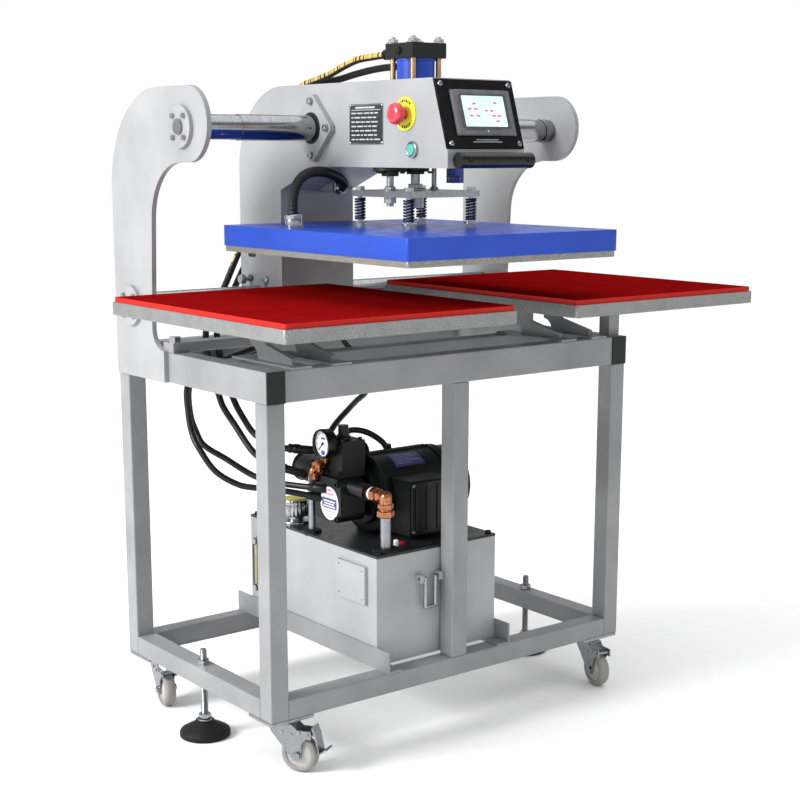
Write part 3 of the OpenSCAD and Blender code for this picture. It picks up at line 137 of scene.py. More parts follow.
def loft(rings, caps=True):
    """Skin over closed rings, given as an array (rings, sides, 3): quads between neighbours and a
    flat cap at each end."""
    rings = np.asarray(rings, float)
    count, sides = rings.shape[:2]
    row, side = np.meshgrid(np.arange(count - 1), np.arange(sides), indexing="ij")
    after = (side + 1) % sides
    quads = np.stack([row * sides + side, row * sides + after, (row + 1) * sides + after,
                      (row + 1) * sides + side], axis=-1).reshape(-1, 4)
    faces = quads.tolist()
    if caps:
        faces.append(list(range(sides))[::-1])
        faces.append(list(range((count - 1) * sides, count * sides)))
    return rings.reshape(-1, 3), faces


def basis(axis):
    """Two unit vectors across an axis: axis x nearest world axis, then axis x that."""
    axis = np.asarray(axis, float)
    axis = axis / np.linalg.norm(axis)
    other = np.eye(3)[int(np.argmin(np.abs(axis)))]
    across = np.cross(other, axis)
    across /= np.linalg.norm(across)
    return across, np.cross(axis, across), axis


def turned(profile, centre, axis=(0, 0, 1), sides=48, waves=0, depth=0.0):
    """Surface of revolution: centre + r (cos a u + sin a w) + h axis over a profile of (r, h).
    With waves the radius is r (1 + depth cos(waves a)), for ribs and knurls. A profile that keeps
    off the axis at both ends closes on itself, as a ring."""
    u, w, axis = basis(axis)
    profile = np.asarray(profile, float)
    angle = np.arange(sides) * 2 * math.pi / sides
    around = np.cos(angle)[:, None] * u + np.sin(angle)[:, None] * w
    ripple = 1 + depth * np.cos(waves * angle)
    hollow = profile[0, 0] > 0 and profile[-1, 0] > 0
    if hollow:
        profile = np.concatenate([profile, profile[:1]])
    rings = (np.asarray(centre, float) + profile[:, 0, None, None] * ripple[None, :, None] * around[None]
             + profile[:, 1, None, None] * axis)
    return loft(rings, not hollow)


def carried(path, radius, sides=16):
    """A tube: rings of that radius (one value or one a ring) across a path, each frame turned from
    the last by the smallest rotation."""
    path = np.asarray(path, float)
    radius = np.broadcast_to(np.asarray(radius, float), (len(path),))
    ways = np.gradient(path, axis=0)
    ways /= np.linalg.norm(ways, axis=1)[:, None]
    u = basis(ways[0])[0]
    angle = np.arange(sides) * 2 * math.pi / sides
    rings = []
    for way, point, size in zip(ways, path, radius):
        u = u - way * np.dot(u, way)
        u /= np.linalg.norm(u)
        w = np.cross(way, u)
        rings.append(point + size * (np.cos(angle)[:, None] * u + np.sin(angle)[:, None] * w))
    return loft(np.array(rings))


def slab(outline, low, high, place, u, v, soft=0.0):
    """Plate with chamfered rims: a closed outline in (u, v), carried from low to high along u x v,
    pulled in by soft at both ends."""
    outline = np.asarray(outline, float)
    u, v = np.asarray(u, float), np.asarray(v, float)
    way = np.cross(u, v)
    before, after = outline - np.roll(outline, 1, 0), np.roll(outline, -1, 0) - outline
    before /= np.maximum(np.linalg.norm(before, axis=1), 1e-9)[:, None]
    after /= np.maximum(np.linalg.norm(after, axis=1), 1e-9)[:, None]
    normal = np.stack([before[:, 1] + after[:, 1], -(before[:, 0] + after[:, 0])], axis=1)
    normal /= np.maximum((normal * np.stack([after[:, 1], -after[:, 0]], axis=1)).sum(1), 0.4)[:, None]
    follower = np.roll(outline, -1, 0)
    area = 0.5 * np.sum(outline[:, 0] * follower[:, 1] - outline[:, 1] * follower[:, 0])
    inner = outline - np.sign(area) * normal * soft
    levels = [(inner, low), (outline, low + soft), (outline, high - soft), (inner, high)]
    rings = [np.asarray(place, float) + shape[:, :1] * u + shape[:, 1:] * v + level * way
             for shape, level in levels]
    return loft(np.array(rings))


def rounded(wide, high, radius, steps=6):
    """Outline of a rounded rectangle: four quarter circles joined by straight runs."""
    angle = np.linspace(0, math.pi / 2, steps)
    parts = []
    for turn, (sx, sy) in enumerate([(1, 1), (-1, 1), (-1, -1), (1, -1)]):
        a = angle + turn * math.pi / 2
        parts.append(np.stack([sx * (wide / 2 - radius) + radius * np.cos(a),
                               sy * (high / 2 - radius) + radius * np.sin(a)], axis=1))
    return np.concatenate(parts)


def many_sided(across_flats, sides=6):
    """Outline of a regular polygon from its size across flats."""
    angle = (np.arange(sides) + 0.5) * 2 * math.pi / sides
    return np.stack([np.cos(angle), np.sin(angle)], axis=1) * across_flats / 2 / math.cos(math.pi / sides)


def ellipse(half_wide, half_high, sides=48):
    """Outline of an ellipse: (a cos t, b sin t)."""
    angle = np.arange(sides) * 2 * math.pi / sides
    return np.stack([half_wide * np.cos(angle), half_high * np.sin(angle)], axis=1)


def hex_head(place, axis, across, height):
    """A hexagon head on its washer: a chamfered six-sided slab over a turned ring."""
    u, w, axis = basis(axis)
    rim = 0.72 * across
    return [slab(many_sided(across), 0.8, height, place, u, w, soft=0.09 * across),
            turned([(0, 0), (rim, 0), (rim, 1.2), (rim - 0.4, 1.6), (0, 1.6)], place, axis, 24)]


def socket_head(place, axis, radius, height):
    """A cap screw: a turned head with a round well in its top."""
    return turned([(0, 0), (radius, 0), (radius, height - 0.6), (radius - 0.6, height),
                   (radius * 0.58, height), (radius * 0.5, height * 0.45), (0, height * 0.45)],
                  place, axis, 24)


def side_slab(x, y, z, wide, high, thick, radius=1.5, soft=0.3):
    """A plate on a face that looks along -x: wide along y, high along z, thick outwards."""
    return slab(rounded(wide, high, radius), 0, thick, (x, y, z), FRONT, UP, soft)


def catmull(points, steps):
    """Points along a Catmull-Rom curve through the given points, steps to a span."""
    points = np.asarray(points, float)
    ends = np.concatenate([points[:1], points, points[-1:]])
    t = (np.arange(steps) / steps)[:, None]
    spans = []
    for i in range(len(points) - 1):
        a, b, c, d = ends[i:i + 4]
        spans.append(0.5 * (2 * b + (c - a) * t + (2 * a - 5 * b + 4 * c - d) * t ** 2
                            + (3 * b - a - 3 * c + d) * t ** 3))
    return np.concatenate(spans + [points[-1:]])


def bezier(a, b, c, d, steps):
    """Points on a cubic Bezier curve: (1-t)^3 a + 3 (1-t)^2 t b + 3 (1-t) t^2 c + t^3 d."""
    t = np.linspace(0, 1, steps + 1)[:, None]
    a, b, c, d = (np.asarray(p, float) for p in (a, b, c, d))
    return (1 - t) ** 3 * a + 3 * (1 - t) ** 2 * t * b + 3 * (1 - t) * t ** 2 * c + t ** 3 * d


def run_length(path):
    """Distance along a path at each of its points."""
    return np.concatenate([[0], np.cumsum(np.linalg.norm(np.diff(path, axis=0), axis=1))])


def placed(name, mesh, material, crisp):
    """A scene object from a mesh, smooth but for edges sharper than crisp degrees."""
    mesh.shade_smooth()
    mesh.set_sharp_from_angle(angle=math.radians(crisp))
    mesh.materials.append(material)
    obj = bpy.data.objects.new(name, mesh)
    bpy.context.collection.objects.link(obj)
    return obj


def piece(name, shapes, body, material, crisp=32):
    """One mesh from several shapes, closed and facing outwards, that rides on a body."""
    shapes = shapes if isinstance(shapes, list) else [shapes]
    points, faces, start = [], [], 0
    for shape_points, shape_faces in shapes:
        points.append(shape_points)
        faces += [[start + i for i in face] for face in shape_faces]
        start += len(shape_points)
    mesh = bpy.data.meshes.new(name)
    mesh.from_pydata(metres(np.concatenate(points)).tolist(), [], faces)
    work = bmesh.new()
    work.from_mesh(mesh)
    bmesh.ops.remove_doubles(work, verts=work.verts, dist=2e-6)
    bmesh.ops.dissolve_degenerate(work, edges=work.edges, dist=1e-7)
    bmesh.ops.recalc_face_normals(work, faces=work.faces)
    work.to_mesh(mesh)
    work.free()
    obj = placed(name, mesh, material, crisp)
    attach(obj, body)
    return obj


LAY_LINE_TURN = 1.15


def tube_piece(name, path, radius, sides, material):
    """A closed tube with two point attributes: its length so far, in metres, and its side, the
    cosine of the turn about the path from just beside its top."""
    points, faces = carried(path, radius, sides)
    mesh = bpy.data.meshes.new(name)
    mesh.from_pydata(metres(points).tolist(), [], faces)
    along = mesh.attributes.new("along", "FLOAT", "POINT")
    along.data.foreach_set("value", np.repeat(run_length(path) * MILLI, sides))
    side = mesh.attributes.new("side", "FLOAT", "POINT")
    turn = np.arange(sides) * 2 * math.pi / sides + LAY_LINE_TURN
    side.data.foreach_set("value", np.tile(np.cos(turn), len(path)))
    return placed(name, mesh, material, 60)

# Finishes


def linear(code):
    """An sRGB hex colour as linear RGBA."""
    parts = [int(code[i:i + 2], 16) / 255 for i in (0, 2, 4)]
    return tuple(p / 12.92 if p <= 0.04045 else ((p + 0.055) / 1.055) ** 2.4 for p in parts) + (1.0,)


def add(tree, kind, inputs=None, **settings):
    """Adds a node, sets what is given and links the sockets that are passed as inputs."""
    node = tree.nodes.new(kind)
    for name, value in settings.items():
        setattr(node, name, value)
    for name, value in (inputs or {}).items():
        if isinstance(value, bpy.types.NodeSocket):
            tree.links.new(value, node.inputs[name])
        else:
            node.inputs[name].default_value = value
    return node


def noise(tree, place, size_mm, detail=3.0, stretch=None):
    """Noise whose blobs are about size_mm wide, longer along the axes with a stretch above 1."""
    if stretch:
        place = add(tree, "ShaderNodeMapping",
                    {"Vector": place, "Scale": tuple(1 / s for s in stretch)}).outputs[0]
    return add(tree, "ShaderNodeTexNoise", {"Vector": place, "Scale": 1000 / size_mm, "Detail": detail},
               noise_dimensions="3D").outputs[0]


def ramp(tree, value, low, high, out_low=0.0, out_high=1.0):
    """A value's range low..high moved to out_low..out_high, clamped."""
    return add(tree, "ShaderNodeMapRange", {"Value": value, "From Min": low, "From Max": high,
                                            "To Min": out_low, "To Max": out_high}).outputs[0]


def blend_colours(tree, factor, first, second):
    """Colour mix of two sRGB codes or sockets by a factor."""
    pick = [linear(c) if isinstance(c, str) else c for c in (first, second)]
    return add(tree, "ShaderNodeMix", {0: factor, 6: pick[0], 7: pick[1]}, data_type="RGBA").outputs[2]


def times(tree, first, second):
    """Product of two sockets or numbers."""
    return add(tree, "ShaderNodeMath", {0: first, 1: second}, operation="MULTIPLY").outputs[0]


def bumpy(tree, height, depth_mm):
    """A bump from a height of 0..1 that stands for depth_mm."""
    return add(tree, "ShaderNodeBump", {"Height": height, "Distance": depth_mm * MILLI,
                                        "Strength": 1.0}).outputs[0]


def finish(name, base="808080", roughness=0.5, metallic=0.0, **sockets):
    """A material with a Principled shader, its constants set, and Object coordinates."""
    material = bpy.data.materials.new(name)
    material.use_nodes = True
    tree = material.node_tree
    tree.nodes.clear()
    shader = add(tree, "ShaderNodeBsdfPrincipled", {"Roughness": roughness, "Metallic": metallic,
                                                    "Base Color": linear(base)})
    for key, value in sockets.items():
        shader.inputs[key.replace("_", " ")].default_value = value
    add(tree, "ShaderNodeOutputMaterial", {"Surface": shader.outputs[0]})
    place = add(tree, "ShaderNodeTexCoord").outputs["Object"]
    material.diffuse_color = linear(base)
    return material, tree, shader, place


def join(tree, shader, **links):
    """Links sockets to the shader's inputs, with underscores for spaces."""
    for key, value in links.items():
        tree.links.new(value, shader.inputs[key.replace("_", " ")])


def powder_coat(name, light, dark, roughness=0.42, peel=1.6, depth=0.05, **sockets):
    """Powder coat on steel: even colour with faint clouds, orange peel a millimetre or two wide."""
    material, tree, shader, place = finish(name, light, roughness, **sockets)
    clouds = ramp(tree, noise(tree, place, 160, 4), 0.35, 0.68)
    specks = ramp(tree, noise(tree, place, 5, 4), 0.45, 0.75)
    colour = blend_colours(tree, clouds, light, dark)
    colour = blend_colours(tree, ramp(tree, specks, 0, 1, 0, 0.25), colour, dark)
    rough = ramp(tree, noise(tree, place, 40, 3), 0.3, 0.7, roughness - 0.05, roughness + 0.08)
    join(tree, shader, Base_Color=colour, Roughness=rough,
         Normal=bumpy(tree, noise(tree, place, peel, 2), depth))
    return material


def bare_metal(name, light, dark, roughness, grain_mm, stretch=None, depth=0.02, spread=0.12):
    """Bare or plated metal: metallic, with brushed or mottled grain in colour and roughness."""
    material, tree, shader, place = finish(name, light, roughness, 1.0)
    grain = noise(tree, place, grain_mm, 5, stretch)
    blotch = noise(tree, place, grain_mm * 14, 3)
    colour = blend_colours(tree, ramp(tree, grain, 0.3, 0.7), light, dark)
    colour = blend_colours(tree, ramp(tree, blotch, 0.4, 0.75, 0, 0.5), colour, dark)
    join(tree, shader, Base_Color=colour,
         Roughness=ramp(tree, grain, 0.3, 0.7, max(roughness - spread / 2, 0.03), roughness + spread),
         Normal=bumpy(tree, grain, depth))
    return material


def moulded(name, light, dark, roughness, texture_mm=0.9, depth=0.03, **sockets):
    """Moulded plastic or rubber: fine spark-eroded grain and a little wear in the gloss."""
    material, tree, shader, place = finish(name, light, roughness, 0.0, **sockets)
    grain = noise(tree, place, texture_mm, 2)
    wear = noise(tree, place, 26, 4)
    join(tree, shader, Base_Color=blend_colours(tree, ramp(tree, wear, 0.35, 0.75), light, dark),
         Roughness=ramp(tree, wear, 0.3, 0.7, roughness - 0.05, roughness + 0.08),
         Normal=bumpy(tree, grain, depth))
    return material


# Powder-coated square tube: silver-grey, satin
frame_coat = powder_coat("powder_coated_tube", "8f9092", "7e7f81", 0.45)
# The same paint on laser-cut plate, a little lighter
plate_coat = powder_coat("powder_coated_plate", "9a9b9d", "8a8b8d", 0.42)
head_coat = powder_coat("powder_coated_head", "9fa0a2", "919294", 0.4)
# Painted sheet steel of the tank, smoother and lighter than the frame
tank_coat = powder_coat("painted_tank_sheet", "a7a8aa", "969799", 0.4, 2.4, 0.03)
lid_coat = powder_coat("dark_painted_lid", "2c2d2f", "1b1c1e", 0.34, 2.0, 0.04, Specular_IOR_Level=0.3)
# Blue stove enamel on the platen cover and the cylinder
blue_enamel = powder_coat("blue_stove_enamel", "2149b6", "1b40a4", 0.34, 2.2, 0.03, Specular_IOR_Level=0.28)
# Black machine paint over castings: coarse orange peel
cast_black = powder_coat("black_painted_casting", "0c0d0f", "060708", 0.4, 3.2, 0.18, Specular_IOR_Level=0.32)
# Blasted aluminium plate: mottled dull grey from the blasting
table_metal = bare_metal("blasted_aluminium_plate", "a9abaa", "7d807f", 0.5, 2.6, depth=0.05)
heater_metal = bare_metal("cast_aluminium_heater", "a9a8a4", "85847f", 0.52, 3.5, depth=0.08)
# Hard chrome, ground: nearly a mirror with faint lines round the shaft
hard_chrome = bare_metal("ground_hard_chrome", "a9abae", "8a8c90", 0.13, 1.2, (1, 30, 30), 0.002, 0.05)
# Zinc plate on pressed parts: soft grey shine with a little bloom
zinc_plate = bare_metal("zinc_plated_pressing", "a6a9ad", "82868b", 0.32, 2.2, depth=0.02)
bolt_plate = bare_metal("nickel_plated_bolt", "b4b6b9", "85888c", 0.2, 1.4, depth=0.01, spread=0.08)
# Copper-coloured compression fittings, slightly oily
copper_metal = bare_metal("copper_fitting", "c98d6a", "9a5f41", 0.26, 3.0, depth=0.02)
brass_rod = bare_metal("yellow_passivated_rod", "c9a884", "9b7a58", 0.28, 2.5, (4, 4, 0.5), 0.01)
# Blued and oiled spring wire
spring_wire = bare_metal("blued_spring_wire", "4a5576", "1d2236", 0.26, 2.0, depth=0.01)
black_oxide = bare_metal("black_oxide_screw", "3b3c40", "232427", 0.36, 1.5, depth=0.02)
black_plastic = moulded("black_moulded_plastic", "101113", "17181a", 0.42, Specular_IOR_Level=0.32)
gloss_black = moulded("gloss_black_acrylic", "070708", "0b0b0d", 0.16, 3.0, 0.004, Specular_IOR_Level=0.3)
grip_rubber = moulded("black_grip_sleeve", "070708", "0c0c0e", 0.2, 2.0, 0.01, Specular_IOR_Level=0.35)
bezel_grey = moulded("grey_abs_bezel", "6a6c70", "55575b", 0.4)
rubber_black = moulded("black_rubber", "0c0c0d", "151516", 0.6, 1.2, 0.05, Specular_IOR_Level=0.25)
wheel_rubber = moulded("grey_elastic_rubber", "8e8d8a", "7c7b78", 0.6, 1.2, 0.05)
hub_plastic = moulded("pale_nylon_hub", "b4b3af", "9d9c98", 0.45)
stop_red = moulded("red_signal_plastic", "d23a48", "bd2c3a", 0.28, 1.5, 0.005, Coat_Weight=0.3)
ring_yellow = moulded("yellow_signal_plastic", "e2de3c", "cfc92c", 0.35, 1.5, 0.01)
start_green = moulded("green_signal_plastic", "5fb0a6", "479a90", 0.28, 1.5, 0.005, Coat_Weight=0.3)
cap_yellow = moulded("yellow_breather_plastic", "d6c23a", "bfa92c", 0.4)
plug_red = moulded("red_plug_plastic", "b5182a", "96101f", 0.35)
post_white = moulded("white_nylon", "e8e8e4", "d6d6d2", 0.4)
switch_blue = moulded("blue_switch_case", "2b49a8", "223a8a", 0.35)
dial_white = moulded("white_dial", "eeeeec", "e0e0de", 0.5, 2.0, 0.002)
label_blue = moulded("printed_blue_label", "4a4884", "393768", 0.3, 4.0, 0.003, Coat_Weight=0.3)
label_white = moulded("printed_white_label", "dfe1ee", "cdd0e2", 0.35, 4.0, 0.003)
label_black = moulded("printed_black_plate", "2a2b2d", "1d1e20", 0.35, 2.0, 0.01)
ink_grey = moulded("pale_grey_ink", "b9bbbd", "a2a4a6", 0.5, 2.0, 0.002)
ink_pink = moulded("pink_screen_ink", "e88aa0", "dd7690", 0.5, 2.0, 0.002)
ink_blue = moulded("blue_dial_ink", "3c56b0", "304694", 0.5, 2.0, 0.002)
ink_red = moulded("red_dial_ink", "c43a4a", "a82c3c", 0.5, 2.0, 0.002)


def silicone_pad():
    """Silicone sponge sheet: deep red skin on top, brighter where the knife cut its edge."""
    material, tree, shader, place = finish("red_silicone_sponge", "800c0c", 0.8, 0.0,
                                           Specular_IOR_Level=0.0)
    normal = add(tree, "ShaderNodeNewGeometry").outputs["Normal"]
    up = add(tree, "ShaderNodeSeparateXYZ", {0: normal}).outputs[2]
    clouds = ramp(tree, noise(tree, place, 90, 4), 0.35, 0.7)
    skin = blend_colours(tree, clouds, "800c0c", "770a0a")
    cut = blend_colours(tree, ramp(tree, noise(tree, place, 3, 3), 0.35, 0.65), "be352f", "ab2a26")
    join(tree, shader, Base_Color=blend_colours(tree, ramp(tree, up, 0.3, 0.7), cut, skin),
         Roughness=ramp(tree, noise(tree, place, 14, 3), 0.3, 0.7, 0.74, 0.86),
         Normal=bumpy(tree, noise(tree, place, 1.4, 2), 0.05))
    return material


MARKS_PER_METRE = 140.0
MARKED_TO = 0.8     # metres of the marked hose that keep their print


def hose_cover(name, marked):
    """Smooth black hose rubber; on a marked hose a broken yellow lay line runs along one side."""
    material, tree, shader, place = finish(name, "121114", 0.42, Specular_IOR_Level=0.35)
    colour = blend_colours(tree, ramp(tree, noise(tree, place, 22, 3), 0.35, 0.7), "151417", "0b0a0d")
    if marked:
        side = add(tree, "ShaderNodeAttribute", attribute_name="side").outputs["Fac"]
        along = add(tree, "ShaderNodeAttribute", attribute_name="along").outputs["Fac"]
        band = ramp(tree, side, 0.62, 0.72)
        steps = add(tree, "ShaderNodeTexNoise",
                    {"W": times(tree, along, MARKS_PER_METRE), "Scale": 1.0, "Detail": 1.0},
                    noise_dimensions="1D").outputs[0]
        mark = times(tree, band, ramp(tree, steps, 0.42, 0.46))
        mark = times(tree, mark, ramp(tree, along, MARKED_TO - 0.02, MARKED_TO, 1, 0))
        colour = blend_colours(tree, mark, colour, "c9a860")
    join(tree, shader, Base_Color=colour, Normal=bumpy(tree, noise(tree, place, 1.6, 2), 0.04),
         Roughness=ramp(tree, noise(tree, place, 30, 3), 0.3, 0.7, 0.34, 0.48))
    return material


def lit_screen():
    """A lit display behind glass: pale cyan white, glowing a little, under a glossy coat."""
    material, tree, shader, place = finish("lit_display_glass", "d9f4f2", 0.1, 0.0, Coat_Weight=0.6,
                                           Emission_Strength=0.35)
    glow = blend_colours(tree, ramp(tree, noise(tree, place, 60, 2), 0.35, 0.7), "dcf6f4", "c6efec")
    join(tree, shader, Base_Color=glow, Emission_Color=glow)
    return material


pad_red = silicone_pad()
hose_marked = hose_cover("hose_rubber_marked", True)
hose_plain = hose_cover("hose_rubber_plain", False)
display = lit_screen()

# Cords: hoses, cable and conduit

HOSE_POINTS = [
    [[-95, 104, 1363], [-95, 122, 1363], [-93, 175, 1361], [-90, 225, 1358], [-86, 276, 1348],
     [-84, 329, 1334], [-84, 385, 1323], [-86, 427, 1314], [-88, 482, 1288], [-90, 526, 1244],
     [-92, 553, 1188], [-95, 558, 1130], [-112, 558, 1060], [-142, 558, 1005], [-172, 558, 957],
     [-206, 555, 896], [-240, 544, 850], [-270, 526, 818], [-284, 514, 786], [-278, 511, 730],
     [-261, 505, 665], [-258, 490, 636], [-252, 455, 602], [-240, 405, 551], [-220, 374, 529],
     [-192, 350, 516]],
    [[-60, 104, 1342], [-60, 122, 1342], [-58, 175, 1342], [-57, 225, 1339], [-58, 276, 1333],
     [-60, 329, 1325], [-62, 385, 1321], [-64, 427, 1314], [-66, 482, 1288], [-68, 526, 1244],
     [-70, 553, 1188], [-72, 558, 1130], [-84, 558, 1060], [-112, 558, 1005], [-142, 558, 955],
     [-176, 558, 896], [-208, 550, 850], [-240, 531, 816], [-256, 514, 784], [-246, 511, 725],
     [-228, 500, 654], [-223, 470, 615], [-222, 420, 582], [-204, 364, 563], [-166, 334, 558]],
    [[-112, 262, 563], [-110, 284, 566], [-90, 300, 580], [-58, 298, 592], [-26, 284, 586],
     [0, 266, 566], [10, 258, 547]],
    [[-140, 470, 822], [-143, 470, 796], [-170, 470, 768], [-250, 470, 747], [-325, 470, 726],
     [-357, 470, 693], [-361, 462, 636], [-361, 448, 595], [-359, 425, 568], [-339, 395, 522],
     [-303, 365, 494], [-272, 335, 487], [-224, 298, 480], [-182, 266, 470]],
    [[-105, 488, 822], [-108, 488, 796], [-138, 488, 764], [-225, 488, 742], [-310, 488, 718],
     [-342, 488, 689], [-345, 482, 632], [-336, 474, 593], [-328, 456, 566], [-290, 430, 536],
     [-250, 386, 502], [-222, 330, 492], [-184, 258, 490]],
    [[0, 430, 822], [2, 430, 800], [22, 430, 762], [62, 426, 724], [84, 416, 690], [59, 400, 653],
     [10, 370, 640], [-36, 340, 628], [-90, 314, 604], [-122, 292, 584], [-132, 268, 574]]]
HOSE_NAMES = ["pressure_hose", "return_hose", "solenoid_cable", "left_power_cable", "left_signal_cable",
              "right_power_cable"]
HOSE_ENDS = [((0, 1, 0), (0.8, -0.55, -0.3)), ((0, 1, 0), (0.87, -0.45, -0.12)), ((0, 1, 0), (0, 0, -1)),
             ((0, 0, -1), (0.8, -0.55, -0.2)), ((0, 0, -1), (0.6, -0.8, -0.05)), ((0, 0, -1), (0, -1, 0))]

HOSE_RADIUS, CABLE_RADIUS = 7, 6.5


def collar_profile(radius, thick):
    """Profile of the collar at a cord's end: a crimped ferrule on a hose, a plain cone on a cable."""
    if thick:
        rim, long = radius + 3.4, 26
        return [(radius - 1, 0), (rim - 1, 0), (rim, 1), (rim, long * 0.52), (rim - 1.2, long * 0.57),
                (rim - 1.2, long * 0.72), (rim - 0.4, long * 0.76), (rim - 0.4, long * 0.88),
                (rim - 2, long), (radius - 1, long)]
    rim, long = radius + 2.6, 13
    return [(radius - 1, 0), (rim - 0.6, 0), (rim, 1.5), (rim - 1.6, long), (radius - 1, long)]


for name, points, ends in zip(HOSE_NAMES, HOSE_POINTS, HOSE_ENDS):
    path = catmull(points, 8)
    thick = name in ("pressure_hose", "return_hose")
    radius = HOSE_RADIUS if thick else CABLE_RADIUS
    cover = hose_marked if name == "pressure_hose" else hose_plain
    hose = tube_piece(name, path, radius, 20, cover)
    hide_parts("hoses")
    start_body = "frame" if name == "solenoid_cable" else "carriage"
    if start_body == "frame":
        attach(hose, "frame")
    elif thick:
        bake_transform(hose)
    else:
        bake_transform(hose)
    for label, end, way, body in (("_collar", points[0], ends[0], start_body),
                                  ("_end_collar", points[-1], tuple(-np.array(ends[1])), "frame")):
        piece(name + label, [turned(collar_profile(radius, thick), end, way, 32)], body,
                              black_oxide if thick else black_plastic)

CONDUIT = [(-279, 177, COVER_TOP + 10.5), (-310, 177, COVER_TOP + 180),
           (-60.5, 236, 1106), (-60.5, 336, 1106)]
CONDUIT_RADIUS, RIB_DEPTH, RINGS_PER_RIB, CONDUIT_RIBS = 10, 1.26, 6, 54
conduit_path = bezier(*CONDUIT, CONDUIT_RIBS * RINGS_PER_RIB)
rib_turn = np.arange(len(conduit_path)) * 2 * math.pi / RINGS_PER_RIB
rib_radius = CONDUIT_RADIUS - RIB_DEPTH * (1 - np.cos(rib_turn)) / 2
conduit = tube_piece("ribbed_conduit", conduit_path, rib_radius, 20, black_plastic)
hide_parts("conduit")
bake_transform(conduit)
conduit_nut = piece("conduit_gland_nut",
                    [slab(many_sided(29), 0, 9, CONDUIT[-1], RIGHT, UP, 1.5),
                     turned([(11, 0), (13.2, 0), (13.2, 12), (12, 14), (11, 14)],
                            (CONDUIT[-1][0], CONDUIT[-1][1] - 4, CONDUIT[-1][2]), FRONT, 32)],
                    "carriage", bolt_plate)
conduit_socket = piece("conduit_socket_collar",
                       [turned([(11.6, 0), (18.5, 0), (18.5, 2.5), (16.6, 3.5), (16.6, 15), (15.8, 17),
                                (17.4, 18), (17.4, 25), (16, 26.5), (11.6, 26.5)],
                               (CONDUIT[0][0] - 1, CONDUIT[0][1], COVER_TOP), (-0.1, 0, 1), 40)],
                       "platen", bolt_plate)

# Finishes on the solids

NODE_FINISHES = {
    "legs": frame_coat, "top_rails": frame_coat, "lower_rails": frame_coat, "tube_caps": black_plastic,
    "end_plates": plate_coat, "shaft_discs": plate_coat, "frame_fasteners": bolt_plate,
    "guide_shafts": hard_chrome, "tables": table_metal, "table_pads": pad_red,
    "table_brackets": frame_coat, "cross_member": frame_coat, "tank_body": tank_coat,
    "tank_lid": lid_coat, "tank_angles": frame_coat, "level_gauge": black_plastic,
    "pipes": zinc_plate, "copper_fittings": copper_metal, "breather_body": bolt_plate,
    "breather_cap": cap_yellow, "pump_body": cast_black, "motor_body": cast_black,
    "fan_cover": cast_black, "motor_fan": black_plastic, "valve_block": cast_black,
    "relief_knob": black_plastic, "gauge_case": cast_black, "gauge_needle": black_oxide,
    "caster_plates": zinc_plate, "brake_pedal": zinc_plate, "levelling_foot_left": rubber_black,
    "levelling_foot_right": rubber_black, "tank_handle": bolt_plate, "head_frame": head_coat,
    "bearing_housings": plate_coat, "control_panel": gloss_black, "touch_screen": bezel_grey,
    "grip_bar": grip_rubber, "button_rings": ring_yellow, "stop_button": stop_red,
    "start_button": start_green, "cylinder_tube": blue_enamel, "cylinder_cap": cast_black,
    "head_fittings": cast_black, "switch_lever": zinc_plate, "ram": zinc_plate,
    "spring_bolts": bolt_plate, "platen_cover": blue_enamel, "heat_plate": heater_metal}
# Widths of rolled edges, in mm
ROLLED_EDGES = {
    "legs": 2.2, "top_rails": 2.2, "lower_rails": 2.2, "cross_member": 2.0, "tables": 0.8,
    "heat_plate": 0.8, "tank_body": 1.0, "tank_lid": 0.8, "platen_cover": 1.8, "cylinder_cap": 1.2,
    "valve_block": 1.0, "pump_body": 1.2, "control_panel": 0.8}
for corner in ("front_left", "front_right", "rear_left", "rear_right"):
    NODE_FINISHES["caster_fork_" + corner] = zinc_plate
    NODE_FINISHES["wheel_" + corner] = wheel_rubber


def dress(node, material):
    """Gives a CAD node one material in every slot it has."""
    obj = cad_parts[node]
    if not obj.material_slots:
        obj.data.materials.append(material)
    for place in obj.material_slots:
        place.material = material


def soften(node, width):
    """Rolls a node's hard edges over a width in mm: its split corners welded, then bevelled."""
    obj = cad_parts[node]
    weld = obj.modifiers.new("weld_corners", "WELD")
    weld.merge_threshold = 1e-5
    bevel = obj.modifiers.new("rolled_edges", "BEVEL")
    bevel.width = width * MILLI
    bevel.segments = 2
    bevel.limit_method = "ANGLE"
    bevel.angle_limit = math.radians(50)


for node, material in NODE_FINISHES.items():
    dress(node, material)
for node, width in ROLLED_EDGES.items():
    soften(node, width)

# Springs

SPRING_REACH = 77
SPRING_RADIUS = 9.4
SPRING_WIRE = 1.9
SPRING_SEAT = COVER_TOP + 14.7
TURNS = 8


def spring_path(x, y):
    """A helix about (x, y): r cos and r sin of 2 pi t, rising slowly over its first and last turn."""
    turn = np.linspace(0, TURNS, TURNS * 28 + 1)
    rise = np.interp(turn, [0, 1, TURNS - 1, TURNS], [0, 3.4, 37.6, 41])
    return np.stack([x + SPRING_RADIUS * np.cos(2 * math.pi * turn),
                     y + SPRING_RADIUS * np.sin(2 * math.pi * turn), SPRING_SEAT + rise], axis=1)


spring_shapes = [carried(spring_path(HEAD_X + sx * SPRING_REACH, STATION_Y + sy * SPRING_REACH),
                         SPRING_WIRE, 10) for sx in (-1, 1) for sy in (-1, 1)]
springs = piece("platen_springs", spring_shapes, "ram", spring_wire, 60)
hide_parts("springs")
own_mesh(springs)

# Display panel

PANEL_LEAN = math.radians(17.9)
PANEL_TOP_Y = -114.04
PANEL_ORIGIN = np.array((HEAD_LEFT, PANEL_TOP_Y, span("control_panel", 2)[1]))
PANEL_X = np.array((1.0, 0, 0))
PANEL_UP = np.array((0, math.sin(PANEL_LEAN), math.cos(PANEL_LEAN)))
PANEL_OUT = np.cross(PANEL_X, PANEL_UP)
SCREEN_ALONG = 99


